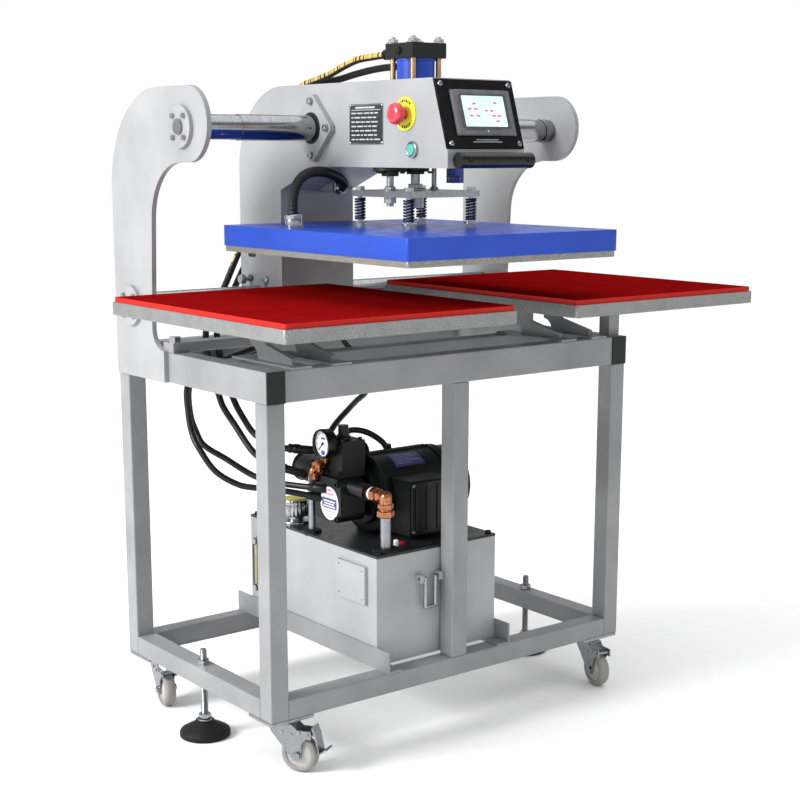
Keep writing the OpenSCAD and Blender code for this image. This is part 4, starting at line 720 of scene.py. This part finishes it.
def on_panel(along, up, out=0.0):
    """A point of the leaning panel: origin + along x + up v + out n."""
    return PANEL_ORIGIN + along * PANEL_X + up * PANEL_UP + out * PANEL_OUT


def panel_slab(wide, high, radius, low, top, centre, soft=0.6):
    """A rounded plate that lies on the panel, from low to top above it."""
    return slab(rounded(wide, high, radius), low, top, on_panel(*centre), PANEL_X, PANEL_UP, soft)


bezel_trim = bare_metal("brushed_bezel_trim", "8c8f93", "5f6266", 0.3, 1.6, (12, 1, 1), 0.01)
piece("screen_outer_bezel", [panel_slab(141, 86, 10, 1, 6.2, (SCREEN_ALONG, -63.5), 1.6)],
      "carriage", bezel_grey)
piece("screen_inner_bezel", [panel_slab(118, 69, 6, 5, 7.4, (SCREEN_ALONG, -62.5), 1.0)],
      "carriage", bezel_trim)
DISPLAY_UP = -62
piece("lit_display", [panel_slab(101, 58, 2, 7, 8.0, (SCREEN_ALONG, DISPLAY_UP), 0.3)],
      "carriage", display)
WIDE_MARKS = [(-23, 14), (28, 16), (-36, 4), (-21, 4), (-34, -9), (-18, -9), (20, -8.5), (33, -8.5),
              (28, -18.5)]
NARROW_MARKS = [(4, 1), (17, 1)]
display_marks = [panel_slab(wide, 3.6, 1, 7.9, 8.35, (SCREEN_ALONG + u, DISPLAY_UP + v), 0.1)
                 for wide, marks in ((9, WIDE_MARKS), (7.5, NARROW_MARKS)) for u, v in marks]
piece("display_marks", display_marks, "carriage", ink_pink)
piece("panel_indicator",
      [turned([(0, 0), (1.6, 0), (1.6, 0.6), (1, 1.1), (0, 1.2)], on_panel(SCREEN_ALONG, -99, 7),
              PANEL_OUT, 16)], "carriage", dial_white)
piece("panel_caption_lines",
      [panel_slab(wide, 1.5, 0.4, 0, 0.5, (SCREEN_ALONG, up), 0.1)
       for wide, up in ((54, -113.5), (70, -117.5))], "carriage", ink_grey)
piece("panel_corner_screws",
      [turned([(0, 0), (5.4, 0), (5.4, 1.2), (4.6, 2.8), (3, 3.5), (1.9, 3.5), (1.6, 2.6), (0, 2.6)],
              on_panel(x, v), PANEL_OUT, 28) for x in (11, 175) for v in (-9, -121)],
      "carriage", bolt_plate)

# Grip bar

GRIP_LEFT, GRIP_RIGHT = span("grip_bar", 0)
GRIP_FRONT = span("grip_bar", 1)[0]
GRIP_Z = middle("grip_bar", 2)
GRIP_RADIUS = GRIP_Z - HEAD_BOTTOM
GRIP_SCREW_INSET = 18
piece("grip_bar_end_caps",
      [turned([(9, -0.5), (14.3, -0.5), (14.3, 9), (13.8, 10.4), (13.8, 15)],
              (x, GRIP_FRONT + GRIP_RADIUS, GRIP_Z), inwards, 40)
       for x, inwards in ((GRIP_LEFT - 0.5, RIGHT), (GRIP_RIGHT + 0.3, LEFT))],
      "carriage", grip_rubber)
piece("grip_bar_screws",
      [socket_head((x, GRIP_FRONT, GRIP_Z), FRONT, 3.6, 1.6)
       for x in (GRIP_LEFT + GRIP_SCREW_INSET, GRIP_RIGHT - GRIP_SCREW_INSET)],
      "carriage", black_oxide)

# Push buttons

STOP = (HEAD_LEFT, middle("stop_button", 1), middle("stop_button", 2))
START = (HEAD_LEFT, middle("start_button", 1), middle("start_button", 2))
stop_disc = piece("stop_yellow_disc",
                  [turned([(9.2, 0), (31, 0), (31, 2.2), (30.2, 2.9), (9.2, 2.9)], STOP, LEFT, 72)],
                  "carriage", ring_yellow)
start_ring = piece("start_bright_ring",
                   [turned([(11.2, 0), (15.6, 0), (15.6, 3.2), (14.6, 5.4), (12.6, 6), (11.2, 5.2)],
                           START, LEFT, 56)], "carriage", bolt_plate)
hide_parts("button_rings")
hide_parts("button_rings")


def disc_mark(degrees, tall):
    """A stroke on the yellow disc, 24 mm from its centre, at an angle from y towards z."""
    a = math.radians(degrees)
    centre = np.array(STOP) + (-2.9, 24 * math.cos(a), 24 * math.sin(a))
    return slab(rounded(5, tall, 0.6), -0.45, 0.1, centre, (0, math.cos(a), math.sin(a)),
                (0, -math.sin(a), math.cos(a)), 0.05)


piece("stop_disc_marks",
      [disc_mark(way + step * 13, 2.2 + 1.4 * (step % 2)) for way in (90, 270) for step in range(-3, 4)],
      "carriage", label_black)
MUSHROOM = [(8.7, -24), (8.7, 6), (12, 6), (13, 7.4), (18.4, 9), (19.8, 11), (20, 15), (19.6, 19),
            (18.2, 22), (15, 24.4), (9, 25.8), (0, 26.1)]
MUSHROOM_LIFT, PUSH_LIFT = 8.2, 3.2
stop_head = piece("stop_mushroom",
                  [turned(MUSHROOM, (HEAD_LEFT - MUSHROOM_LIFT,) + STOP[1:], LEFT, 72)],
                  "stop_button_body", stop_red, 40)
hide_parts("stop_button")
start_head = piece("start_push",
                   [turned([(7.7, -24), (7.7, 0), (10.6, 0), (10.6, 3.4), (9.8, 4.4), (0, 4.9)],
                           (HEAD_LEFT - PUSH_LIFT,) + START[1:], LEFT, 48)],
                   "start_button_body", start_green, 40)
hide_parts("start_button")

# Plates and rivets

PLATE_Y, PLATE_Z = 90, 1230
PLATE_INK_X = HEAD_LEFT - 1.4
LINE_START, LINE_END, WORD_GAP, LINE_PITCH = 136.0, 44, 3.2, 8.2
piece("rating_plate", [side_slab(HEAD_LEFT, PLATE_Y, PLATE_Z, 107, 76, 1.2)],
      "carriage", bolt_plate)
piece("rating_plate_field", [side_slab(HEAD_LEFT - 1.1, PLATE_Y, PLATE_Z, 101, 70, 0.4, 1, 0.1)],
      "carriage", label_black)
lines = [side_slab(PLATE_INK_X, PLATE_Y, PLATE_Z + 26.5, 92, 1.1, 0.3, 0.4, 0.05),
         side_slab(PLATE_INK_X, PLATE_Y + 2, PLATE_Z + 31, 62, 3.0, 0.3, 0.8, 0.05)]
for row in range(7):
    start = LINE_START
    for wide in RNG.uniform(7, 20, 6):
        if start - wide < LINE_END:
            break
        lines.append(side_slab(PLATE_INK_X, start - wide / 2, PLATE_Z + 20.5 - LINE_PITCH * row,
                               wide, 2.5, 0.3, 0.7, 0.05))
        start -= wide + WORD_GAP
piece("rating_plate_lines", lines, "carriage", ink_grey)
piece("rating_plate_rivets",
      [turned([(0, 0), (2.4, 0), (2.1, 1.2), (1, 1.8), (0, 1.9)],
              (HEAD_LEFT - 1, PLATE_Y + y, PLATE_Z + z), LEFT, 16)
       for y in (-50.5, 50.5) for z in (-35, 35)], "carriage", bolt_plate)
TANK_PLATE_FACE = span("tank_body", 0)[0]
piece("tank_plate_rivets",
      [turned([(0, 0), (2, 0), (1.7, 1), (0, 1.6)], (TANK_PLATE_FACE, y, z), LEFT, 14)
       for y in (84, 164) for z in (288, 348)], "frame", bolt_plate)

# Shafts and bearings

piece("shaft_seals",
      [turned([(25.3, 0), (31, 0), (31, 1.6), (29, 2.2), (25.3, 2.2)], (x, SHAFT_Y, SHAFT_Z), outwards, 56)
       for x, outwards in FLANGE_FACES], "carriage", rubber_black)
FLANGE_BOLT_REACH = 53
flange_bolts = []
for x, outwards in FLANGE_FACES:
    for a in np.arange(4) * math.pi / 2:
        place = (x, SHAFT_Y + FLANGE_BOLT_REACH * math.cos(a), SHAFT_Z + FLANGE_BOLT_REACH * math.sin(a))
        flange_bolts.append(socket_head(place, outwards, 7.2, 6.4))
piece("bearing_cap_screws", flange_bolts, "carriage", bolt_plate)
piece("shaft_end_rims",
      [turned([(25.2, 0), (26.4, 0.8), (26.4, 11.2), (25.2, 12)], (x, SHAFT_Y, SHAFT_Z), RIGHT, 48)
       for x in (-452, 440)], "frame", hard_chrome)
KNOB = (HEAD_LEFT, 509, 908)
knob = [turned([(0, 0), (4, 0), (4, 17), (9.5, 17.5), (10.5, 19), (10.5, 27), (9, 29), (0, 29.5)],
               KNOB, LEFT, 30, 10, 0.03)]
knob += hex_head(KNOB, LEFT, 15, 7)
knob.append(turned([(0, 0), (9, 0), (8.4, 2.6), (5, 4), (0, 4.4)], (HEAD_LEFT, 448, 909), LEFT, 28))
piece("column_stop_knob", knob, "carriage", bolt_plate)
# A thin black sheet in a slot's outline on the column face: painted shade standing in for the dark inside of
# the slot.
piece("column_slot_painted_shade", [side_slab(HEAD_LEFT, 504, 961, 30, 12, 0.5, 5.9, 0.1)],
      "carriage", black_plastic)

# Cylinder and press foot

TIE_REACH = 31
tie_shapes, nut_shapes = [], []
for sx in (-1, 1):
    for sy in (-1, 1):
        x, y = HEAD_X + sx * TIE_REACH, STATION_Y + sy * TIE_REACH
        tie_shapes.append(turned([(5.35, HEAD_TOP + 0.2), (5.35, TUBE_TOP)], (x, y, 0), UP, 20))
        nut_shapes += hex_head((x, y, CAP_TOP), UP, 18, 8.6)
        nut_shapes.append(turned([(0, 8), (4.8, 8), (4.8, 11.4), (4, 12.2), (0, 12.2)],
                                 (x, y, CAP_TOP), UP, 18))
        nut_shapes.append(turned([(5, 0), (8, 0), (8, 3), (6.2, 4), (5, 4)], (x, y, HEAD_TOP), UP, 24))
piece("tie_rods", tie_shapes, "carriage", brass_rod)
piece("tie_rod_nuts", nut_shapes, "carriage", bolt_plate)
piece("cylinder_bands",
      [turned([(36, 0), (38.2, 0.6), (38.2, 4.4), (36, 5)], (HEAD_X, STATION_Y, z), UP, 64)
       for z in (HEAD_TOP, TUBE_TOP - 5)], "carriage", blue_enamel)
piece("cylinder_cap_plug", hex_head((HEAD_X - 41.5, STATION_Y, 1367), LEFT, 12, 4),
      "carriage", black_oxide)
piece("limit_switch_case",
      [slab(rounded(22.8, 26.8, 2.5), 0, 30.3, (HEAD_X + 62, STATION_Y - 46, HEAD_BOTTOM - 30.3),
            RIGHT, BACK, 0.8)], "carriage", switch_blue)
piece("limit_switch_screws",
      [turned([(0, 0), (2.6, 0), (2.6, 1), (1.6, 1.8), (0, 1.8)], (-25.9, y, HEAD_BOTTOM - 7), LEFT, 16)
       for y in (2, 17)], "carriage", bolt_plate)
piece("limit_switch_roller",
      [turned([(1.5, 0), (6, 0), (6.4, 0.8), (6.4, 4.6), (6, 5.4), (1.5, 5.4)],
              (-27.6, -16.5, HEAD_BOTTOM - 22), LEFT, 28)],
      "switch_lever_body", switch_blue)
FLANGE_Z = HEAD_BOTTOM - 0.4
PIN_FLANGE = [(7.8, 0), (33, 0), (33, 6), (31, 7.4), (21, 7.6), (16.6, 6.8), (16.6, 15.4), (15.4, 16.4),
              (7.8, 16.4)]
ROD_FLANGE = [(9.6, 0), (27, 0), (27, 6), (24, 8), (17.5, 8.4), (17.5, 13), (9.6, 13)]
piece("guide_flange",
      [turned(PIN_FLANGE, (PIN_LEFT_X, STATION_Y, FLANGE_Z), DOWN, 48),
       turned(ROD_FLANGE, (HEAD_X, STATION_Y, FLANGE_Z), DOWN, 56)], "carriage", cast_black)
GUIDE_BOLTS = [(-55, 37), (-55, 74), (-162, STATION_Y), (-150, 35), (-127, 32), (-150, 76), (-127, 79)]
guide_bolts = []
for x, y in GUIDE_BOLTS:
    guide_bolts += hex_head((x, y, HEAD_BOTTOM - 7.5), DOWN, 9, 4.4)
piece("guide_flange_bolts", guide_bolts, "carriage", black_oxide)
collar = [turned([(9.1, 0), (19, 0), (19, 3), (17.5, 4), (14, 4.2), (14, 11), (13, 12), (9.1, 12)],
                 (HEAD_X, STATION_Y, PLATE_TOP), UP, 40)]
collar += hex_head((PIN_LEFT_X, STATION_Y, PLATE_TOP), UP, 20, 8)
collar += hex_head((PIN_RIGHT_X, STATION_Y, PLATE_TOP), UP, 15, 6)
piece("ram_collar", collar, "ram", zinc_plate)

# Pressure gauge


def dial_marks(first, last, count, inner, outer, wide):
    """Radial dial marks at even angles, degrees from the top towards -y."""
    marks = []
    for a in np.radians(np.linspace(first, last, count)):
        u = np.array((0, -math.sin(a), math.cos(a)))
        centre = DIAL - (0.75, 0, 0) + u * (inner + outer) / 2
        marks.append(slab(rounded(outer - inner, wide, wide / 3), -0.25, 0.15, centre, u,
                          np.cross(u, LEFT), 0.02))
    return marks


piece("gauge_face", [turned([(0, 0), (26.7, 0), (26.7, 0.6), (0, 0.6)], DIAL, LEFT, 64)],
      "frame", dial_white)
piece("gauge_bezel",
      [turned([(26.8, 0), (31.2, 0), (31.2, 6), (30.2, 8.4), (28, 9), (26.8, 8)],
              DIAL + (1.5, 0, 0), LEFT, 64)], "frame", gloss_black)
piece("gauge_minor_marks",
      dial_marks(-130, 130, 41, 21.5, 24.5, 0.7) + dial_marks(-130, 130, 9, 19, 24.5, 1.3),
      "frame", ink_blue)
piece("gauge_red_arc", dial_marks(40, 128, 28, 17.2, 18.6, 1.9), "frame", ink_red)
piece("gauge_blue_label",
      [side_slab(DIAL[0] - 0.5, DIAL[1], DIAL[2] - 19, 12, 9, 0.3, 2, 0.05),
       side_slab(DIAL[0] - 0.5, DIAL[1], DIAL[2] + 11, 14, 4, 0.3, 1.2, 0.05)],
      "frame", ink_blue)

# Pump

LABEL_Y, LABEL_Z = 221, 461


def pump_label_slab(outline, low, high, rise=0, soft=0.1):
    """A printed shape on the pump's face, from low to high off it, rise above the label's centre."""
    return slab(outline, low, high, (PUMP_FACE, LABEL_Y, LABEL_Z + rise), FRONT, UP, soft)


piece("pump_label", [pump_label_slab(ellipse(32, 35), 0, 0.8, soft=0.2)], "frame", label_white)
piece("pump_label_band", [pump_label_slab(rounded(52, 22, 3), 0.6, 1.1)], "frame", label_blue)
piece("pump_label_ink",
      [pump_label_slab(rounded(wide, high, 1), 0.6, 1.3, rise)
       for wide, high, rise in ((26, 4, 20), (12, 6, 28), (40, 2.4, -17), (32, 2.4, -23), (20, 2.4, -28))],
      "frame", ink_pink)
piece("pump_label_lines",
      [pump_label_slab(rounded(wide, 2.2, 0.8), 1.0, 1.5, rise, 0.05)
       for wide, rise in ((40, 4.5), (34, -1), (42, -6.5))], "frame", dial_white)
PUMP_BOLTS = [(191, 432), (191, 506), (265, 506)]
piece("pump_bolts", [socket_head((PUMP_FACE, y, z), LEFT, 6.5, 6.5) for y, z in PUMP_BOLTS],
      "frame", black_oxide)

# Motor


def motor_patch(x0, x1, first, last, low, high, steps=8):
    """A patch round the motor: radii low..high, angles from -y up over the top, from x0 to x1."""
    a = np.radians(np.linspace(first, last, steps))
    ring = np.concatenate([np.stack([0 * a, -high * np.cos(a), high * np.sin(a)], 1),
                           np.stack([0 * a, -low * np.cos(a), low * np.sin(a)], 1)[::-1]])
    return loft(np.array([ring + MOTOR + (x0, 0, 0), ring + MOTOR + (x1, 0, 0)]))


PLATE_LINES = [(70, 52), (65.5, 62), (61, 48), (56.5, 62), (52, 40)]
piece("motor_plate", [motor_patch(-30, 46, 47, 76, 79, 81.2)], "frame", label_blue)
piece("motor_plate_lines", [motor_patch(-24, -24 + wide, a, a + 1.5, 80, 81.6, 3) for a, wide in PLATE_LINES],
      "frame", moulded("pale_violet_ink", "8f8cc0", "807db2", 0.5, 2.0, 0.002))
piece("motor_fins", [motor_patch(-58, 98, a - 0.8, a + 0.8, 78, 85.5, 3) for a in np.arange(92, 232, 9.5)],
      "frame", cast_black)
piece("motor_end_rings",
      [turned([(78, 0), (83.5, 0.8), (83.5, 9), (82, 10), (78, 10)], (x, MOTOR_Y, MOTOR_Z), RIGHT, 72)
       for x in (-76, 92, 104)], "frame", cast_black)
BOX_Y, BOX_Z = 94, 455
box = [slab(rounded(108, 110, 5), 0, 5, (-2, BOX_Y, BOX_Z), RIGHT, UP, 1.4)]
box += [slab(rounded(4, 96, 1.6), 4, 8, (x, BOX_Y, BOX_Z), RIGHT, UP, 1.2) for x in (-44, -16, 12, 40)]
piece("terminal_box_lid", box, "frame", cast_black)
piece("terminal_box_screws",
      [socket_head((x, BOX_Y - 4.5, z), FRONT, 4, 3) for x in (-51, 47) for z in (BOX_Z - 49, BOX_Z + 49)],
      "frame", bolt_plate)

# Valve block

VALVE_BOLT_YS = (206, 250)
SOLENOID_Z = VALVE_TOP - 32
piece("valve_bolts",
      [socket_head((-154, y, z), LEFT, 5, 5) for y in VALVE_BOLT_YS for z in (524, 582)]
      + [socket_head((x, y, VALVE_TOP), UP, 4.5, 5) for x in (-147, -102) for y in VALVE_BOLT_YS],
      "frame", black_oxide)
piece("solenoid_ribs",
      [turned([(21.8, h), (23.6, h + 0.5), (23.6, h + 2.5), (21.8, h + 3)], (-95, MOTOR_Y, SOLENOID_Z),
              RIGHT, 40) for h in (3, 8, 13)] + hex_head((-77, MOTOR_Y, SOLENOID_Z), RIGHT, 17, 7),
      "frame", cast_black)
piece("relief_cap",
      [turned([(14.2, 0), (16, 0.6), (16, 6), (14.6, 7.4), (11.4, 7.6)], (-129, MOTOR_Y, VALVE_TOP), UP, 36)]
      + [turned([(29.9, h), (31.4, h + 0.6), (31.4, h + 5), (29.9, h + 5.6)], (-130, 305.5, 511), BACK, 48)
         for h in (1, 63)], "frame", cast_black)

# Copper and pipe fittings

SUCTION_NUTS = [(31, 15, 455), (28, 12, 472)]
ELBOW_NUTS = [(29, 14, 98), (25, 10, 84)]
ELBOW_Z = 496
GAUGE_NUTS = [(24, 12, (-147, RETURN_Y, 520)), (27, 10, (-178, 262, 531)), (22, 12, (-184, 268, 512))]
fittings = [slab(many_sided(across), 0, tall, (SUCTION_X, SUCTION_Y, z), RIGHT, BACK, 2)
            for across, tall, z in SUCTION_NUTS]
fittings += [slab(many_sided(across), 0, tall, (SUCTION_X, y, ELBOW_Z), LEFT, UP, 2)
             for across, tall, y in ELBOW_NUTS]
fittings += [slab(many_sided(across), 0, tall, place, BACK, UP, 2) for across, tall, place in GAUGE_NUTS]
fittings += [turned([(6, 0), (9, 1), (9, 16), (6, 17)], (-172, 262, 531), RIGHT, 32),
             carried(bezier((-166, 262, 531), (-186, 264, 530), (-186, 268, 520), (-174, 270, 512), 16),
                     6.4, 20),
             slab(many_sided(20), 0, 9, (-166, 252, 548), BACK, UP, 2)]
piece("copper_nuts", fittings, "frame", copper_metal)
piece("nylon_ferrules",
      [turned([(8, 0), (13.4, 1), (13.4, 6), (8, 7)], (SUCTION_X, 113, ELBOW_Z), BACK, 32),
       turned([(0, 0), (5, 0), (5.4, 1), (5.4, 11), (3.6, 13), (0, 13)], (-96, 91, LID_TOP), UP, 24)],
      "frame", post_white)
piece("drain_plug_red",
      [turned([(0, 0), (6.4, 0), (6.4, 3), (4, 5), (0, 5.4)], (-76, 96, LID_TOP), UP, 24)],
      "frame", plug_red)
piece("pipe_grommets",
      [turned([(11.2, 0), (29, 0), (29, 4), (26, 6.4), (14.5, 7), (11.2, 7)],
              (SUCTION_X, SUCTION_Y, LID_TOP), UP, 48),
       turned([(7.7, 0), (20, 0), (20, 4), (17.5, 6.4), (10, 7), (7.7, 7)],
              (RETURN_X, RETURN_Y, LID_TOP), UP, 40)],
      "frame", rubber_black)
piece("lid_screws",
      [socket_head((x, y, LID_TOP), UP, 6.4, 6) for x in (-170, 124) for y in (56, 278, 500)],
      "frame", black_oxide)

# Breather and level gauge

NECK = [(0, 0), (34, 0), (34, 3.4), (33, 5), (18, 5.4), (18, 14), (27, 15), (29, 17)]
CARTRIDGE = [(24, 15), (29.4, 16), (30.6, 19), (30.6, 38), (29.4, 42), (0, 42)]
BREATHER_LID = [(0, 42.15), (30.6, 42.15), (32, 43), (32, 49), (30.6, 51.6), (25, 52.4), (24, 51.4),
                (0, 51.4)]
breather = piece("breather_neck",
                 [turned(NECK, BREATHER, UP, 64), turned(CARTRIDGE, BREATHER, UP, 96, 24, 0.022)],
                 "frame", bolt_plate)
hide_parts("breather_body")
breather_top = piece("breather_lid", [turned(BREATHER_LID, BREATHER, UP, 96, 24, 0.012)],
                     "breather_cap_body", bolt_plate)
breather_disc = piece("breather_yellow_disc",
                      [turned([(0, 51), (23.4, 51), (23.4, 52.8), (22, 54), (0, 54)], BREATHER, UP, 48)],
                      "breather_cap_body", cap_yellow)
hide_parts("breather_cap")
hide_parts("breather_cap")
GAUGE_FACE = span("level_gauge", 0)[0]
GAUGE_Y, GAUGE_Z = middle("level_gauge", 1), middle("level_gauge", 2)
GAUGE_BOLT_REACH = 53
piece("level_gauge_glass", [side_slab(GAUGE_FACE + 0.4, GAUGE_Y, GAUGE_Z, 11, 92, 2.2, 5, 0.8)],
      "frame", moulded("oil_sight_glass", "8f8a5a", "77713f", 0.12, 8, 0.002, Coat_Weight=0.6))
gauge_bolts = []
for z in (GAUGE_Z - GAUGE_BOLT_REACH, GAUGE_Z + GAUGE_BOLT_REACH):
    gauge_bolts += hex_head((GAUGE_FACE, GAUGE_Y, z), LEFT, 13, 6)
piece("level_gauge_bolts", gauge_bolts, "frame", bolt_plate)

# Levelling feet

FOOT = [(0, 0), (49, 0), (52, 2), (52, 9), (50, 13), (38, 20), (24, 27), (19, 31), (19, 34), (0, 34)]
THREAD_PITCH, THREAD_DEPTH, STUD_RADIUS, STUD_TOP = 2.5, 0.32, 7, 185
for side in ("left", "right"):
    node, body = "levelling_foot_" + side, "levelling_foot_%s_body" % side
    x, y = middle(node, 0), middle(node, 1)
    base = piece("foot_rubber_" + side, [turned(FOOT, (x, y, 0), UP, 72)],
                 body, rubber_black, 50)
    rise = np.arange(0, 150, THREAD_PITCH / 2)
    thread = STUD_RADIUS + THREAD_DEPTH * np.cos(rise * 2 * math.pi / THREAD_PITCH)
    stud = [turned([(0, 30), *zip(thread, 34 + rise), (6, STUD_TOP), (0, STUD_TOP)], (x, y, 0), UP, 24),
            slab(many_sided(22), 0, 11, (x, y, 37), RIGHT, BACK, 1.8),
            turned([(7, 33), (16.5, 33), (16.5, 35.6), (15, 37), (7, 37)], (x, y, 0), UP, 36)]
    post = piece("foot_stud_" + side, stud, body, bolt_plate, 40)
    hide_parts(node)
    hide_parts(node)

# Castors

FORK_TURNS = {"front_left": -59, "front_right": -101, "rear_left": -101, "rear_right": -101}
CASTER_X, FRONT_CASTER_Y, REAR_CASTER_Y = 415, 42, 522
WHEEL_RADIUS, TRAIL, FORK_FACE, TREAD_RADIUS = 37.5, 40, 16.5, 27.5
FORK_RIVETS = [(8, 80), (28, 78), (44, 82)]
HALF_WHEEL = [(6.4, 13), (9.5, 13), (10, 12), (17, 11), (19, 9.4), (27.4, 9.4), (27.8, 11.4), (29, 12.2),
              (33.4, 11.4), (36.4, 8.6), (37.5, 4.6)]
wheel_profile = [(r, -h) for r, h in HALF_WHEEL] + HALF_WHEEL[::-1]
TYRE = [(26, -11.4), *(p for p in wheel_profile if p[0] > TREAD_RADIUS), (26, 11.4)]
HUB = [p for p in wheel_profile if p[0] <= TREAD_RADIUS]
for corner, turn in FORK_TURNS.items():
    pivot = np.array((-CASTER_X if corner.endswith("left") else CASTER_X,
                      FRONT_CASTER_Y if corner.startswith("front") else REAR_CASTER_Y, 0))
    a = math.radians(turn)
    along, across = np.array((math.cos(a), math.sin(a), 0)), np.array((-math.sin(a), math.cos(a), 0))
    axle = pivot + (0, 0, WHEEL_RADIUS) + TRAIL * along
    ends = []
    for way in (-1, 1):
        out = across * way
        ends += hex_head(axle + out * FORK_FACE, out, 13, 6.5)
        ends += [turned([(0, 0), (3.4, 0), (3.2, 1.6), (0, 2.4)],
                        pivot + along * u + (0, 0, z) + out * FORK_FACE, out, 16) for u, z in FORK_RIVETS]
    piece("fork_bolts_" + corner, ends, "caster_" + corner, bolt_plate)
    body = "wheel_%s_body" % corner
    tread = piece("tyre_" + corner, [turned(TYRE, axle, across, 80)], body, wheel_rubber, 40)
    hub = piece("hub_" + corner, [turned(HUB, axle, across, 64)], body, hub_plastic, 40)
    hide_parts("wheel_" + corner)
    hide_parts("wheel_" + corner)

# Light and floor

world = bpy.data.worlds.new("studio_white")
bpy.context.scene.world = world
world.use_nodes = True
backdrop = world.node_tree
place = add(backdrop, "ShaderNodeTexCoord").outputs["Object"]
height = add(backdrop, "ShaderNodeSeparateXYZ", {0: place}).outputs[2]
dim = ramp(backdrop, height, 0.15, 0.3, 0.0, -0.68)
bright = ramp(backdrop, height, 0.5, 0.72, 0.0, 1.25)
sky = add(backdrop, "ShaderNodeMath", {0: dim, 1: bright}, operation="ADD").outputs[0]
sky = add(backdrop, "ShaderNodeMath", {0: sky, 1: 1.0}, operation="ADD").outputs[0]
backdrop.links.new(sky, backdrop.nodes["Background"].inputs[1])
backdrop.nodes["Background"].inputs[0].default_value = (1, 1, 1, 1)
bpy.context.scene.view_settings.view_transform = "Standard"


def soft_light(name, place, aim, size, power):
    """A square area light at place, turned towards aim, both in metres."""
    light = bpy.data.lights.new(name, "AREA")
    light.shape = "SQUARE"
    light.size = size
    light.energy = power
    obj = bpy.data.objects.new(name, light)
    bpy.context.collection.objects.link(obj)
    way = np.asarray(aim, float) - np.asarray(place, float)
    flat = math.hypot(way[0], way[1])
    obj.location = place
    obj.rotation_euler = (math.atan2(flat, -way[2]), 0, math.atan2(way[1], way[0]) - math.pi / 2)


soft_light("key_left", (-5.2, 0.8, 3.0), (0, 0.1, 0.9), 1.8, 365)

floor_mesh = bpy.data.meshes.new("studio_floor")
floor_mesh.from_pydata([(-9, -9, 0), (9, -9, 0), (9, 14, 0), (-9, 14, 0)], [], [(0, 1, 2, 3)])
floor = bpy.data.objects.new("studio_floor", floor_mesh)
bpy.context.collection.objects.link(floor)
floor_mesh.materials.append(moulded("pale_studio_paper", "f6f6f6", "f3f3f3", 0.8, 4.0, 0.01))
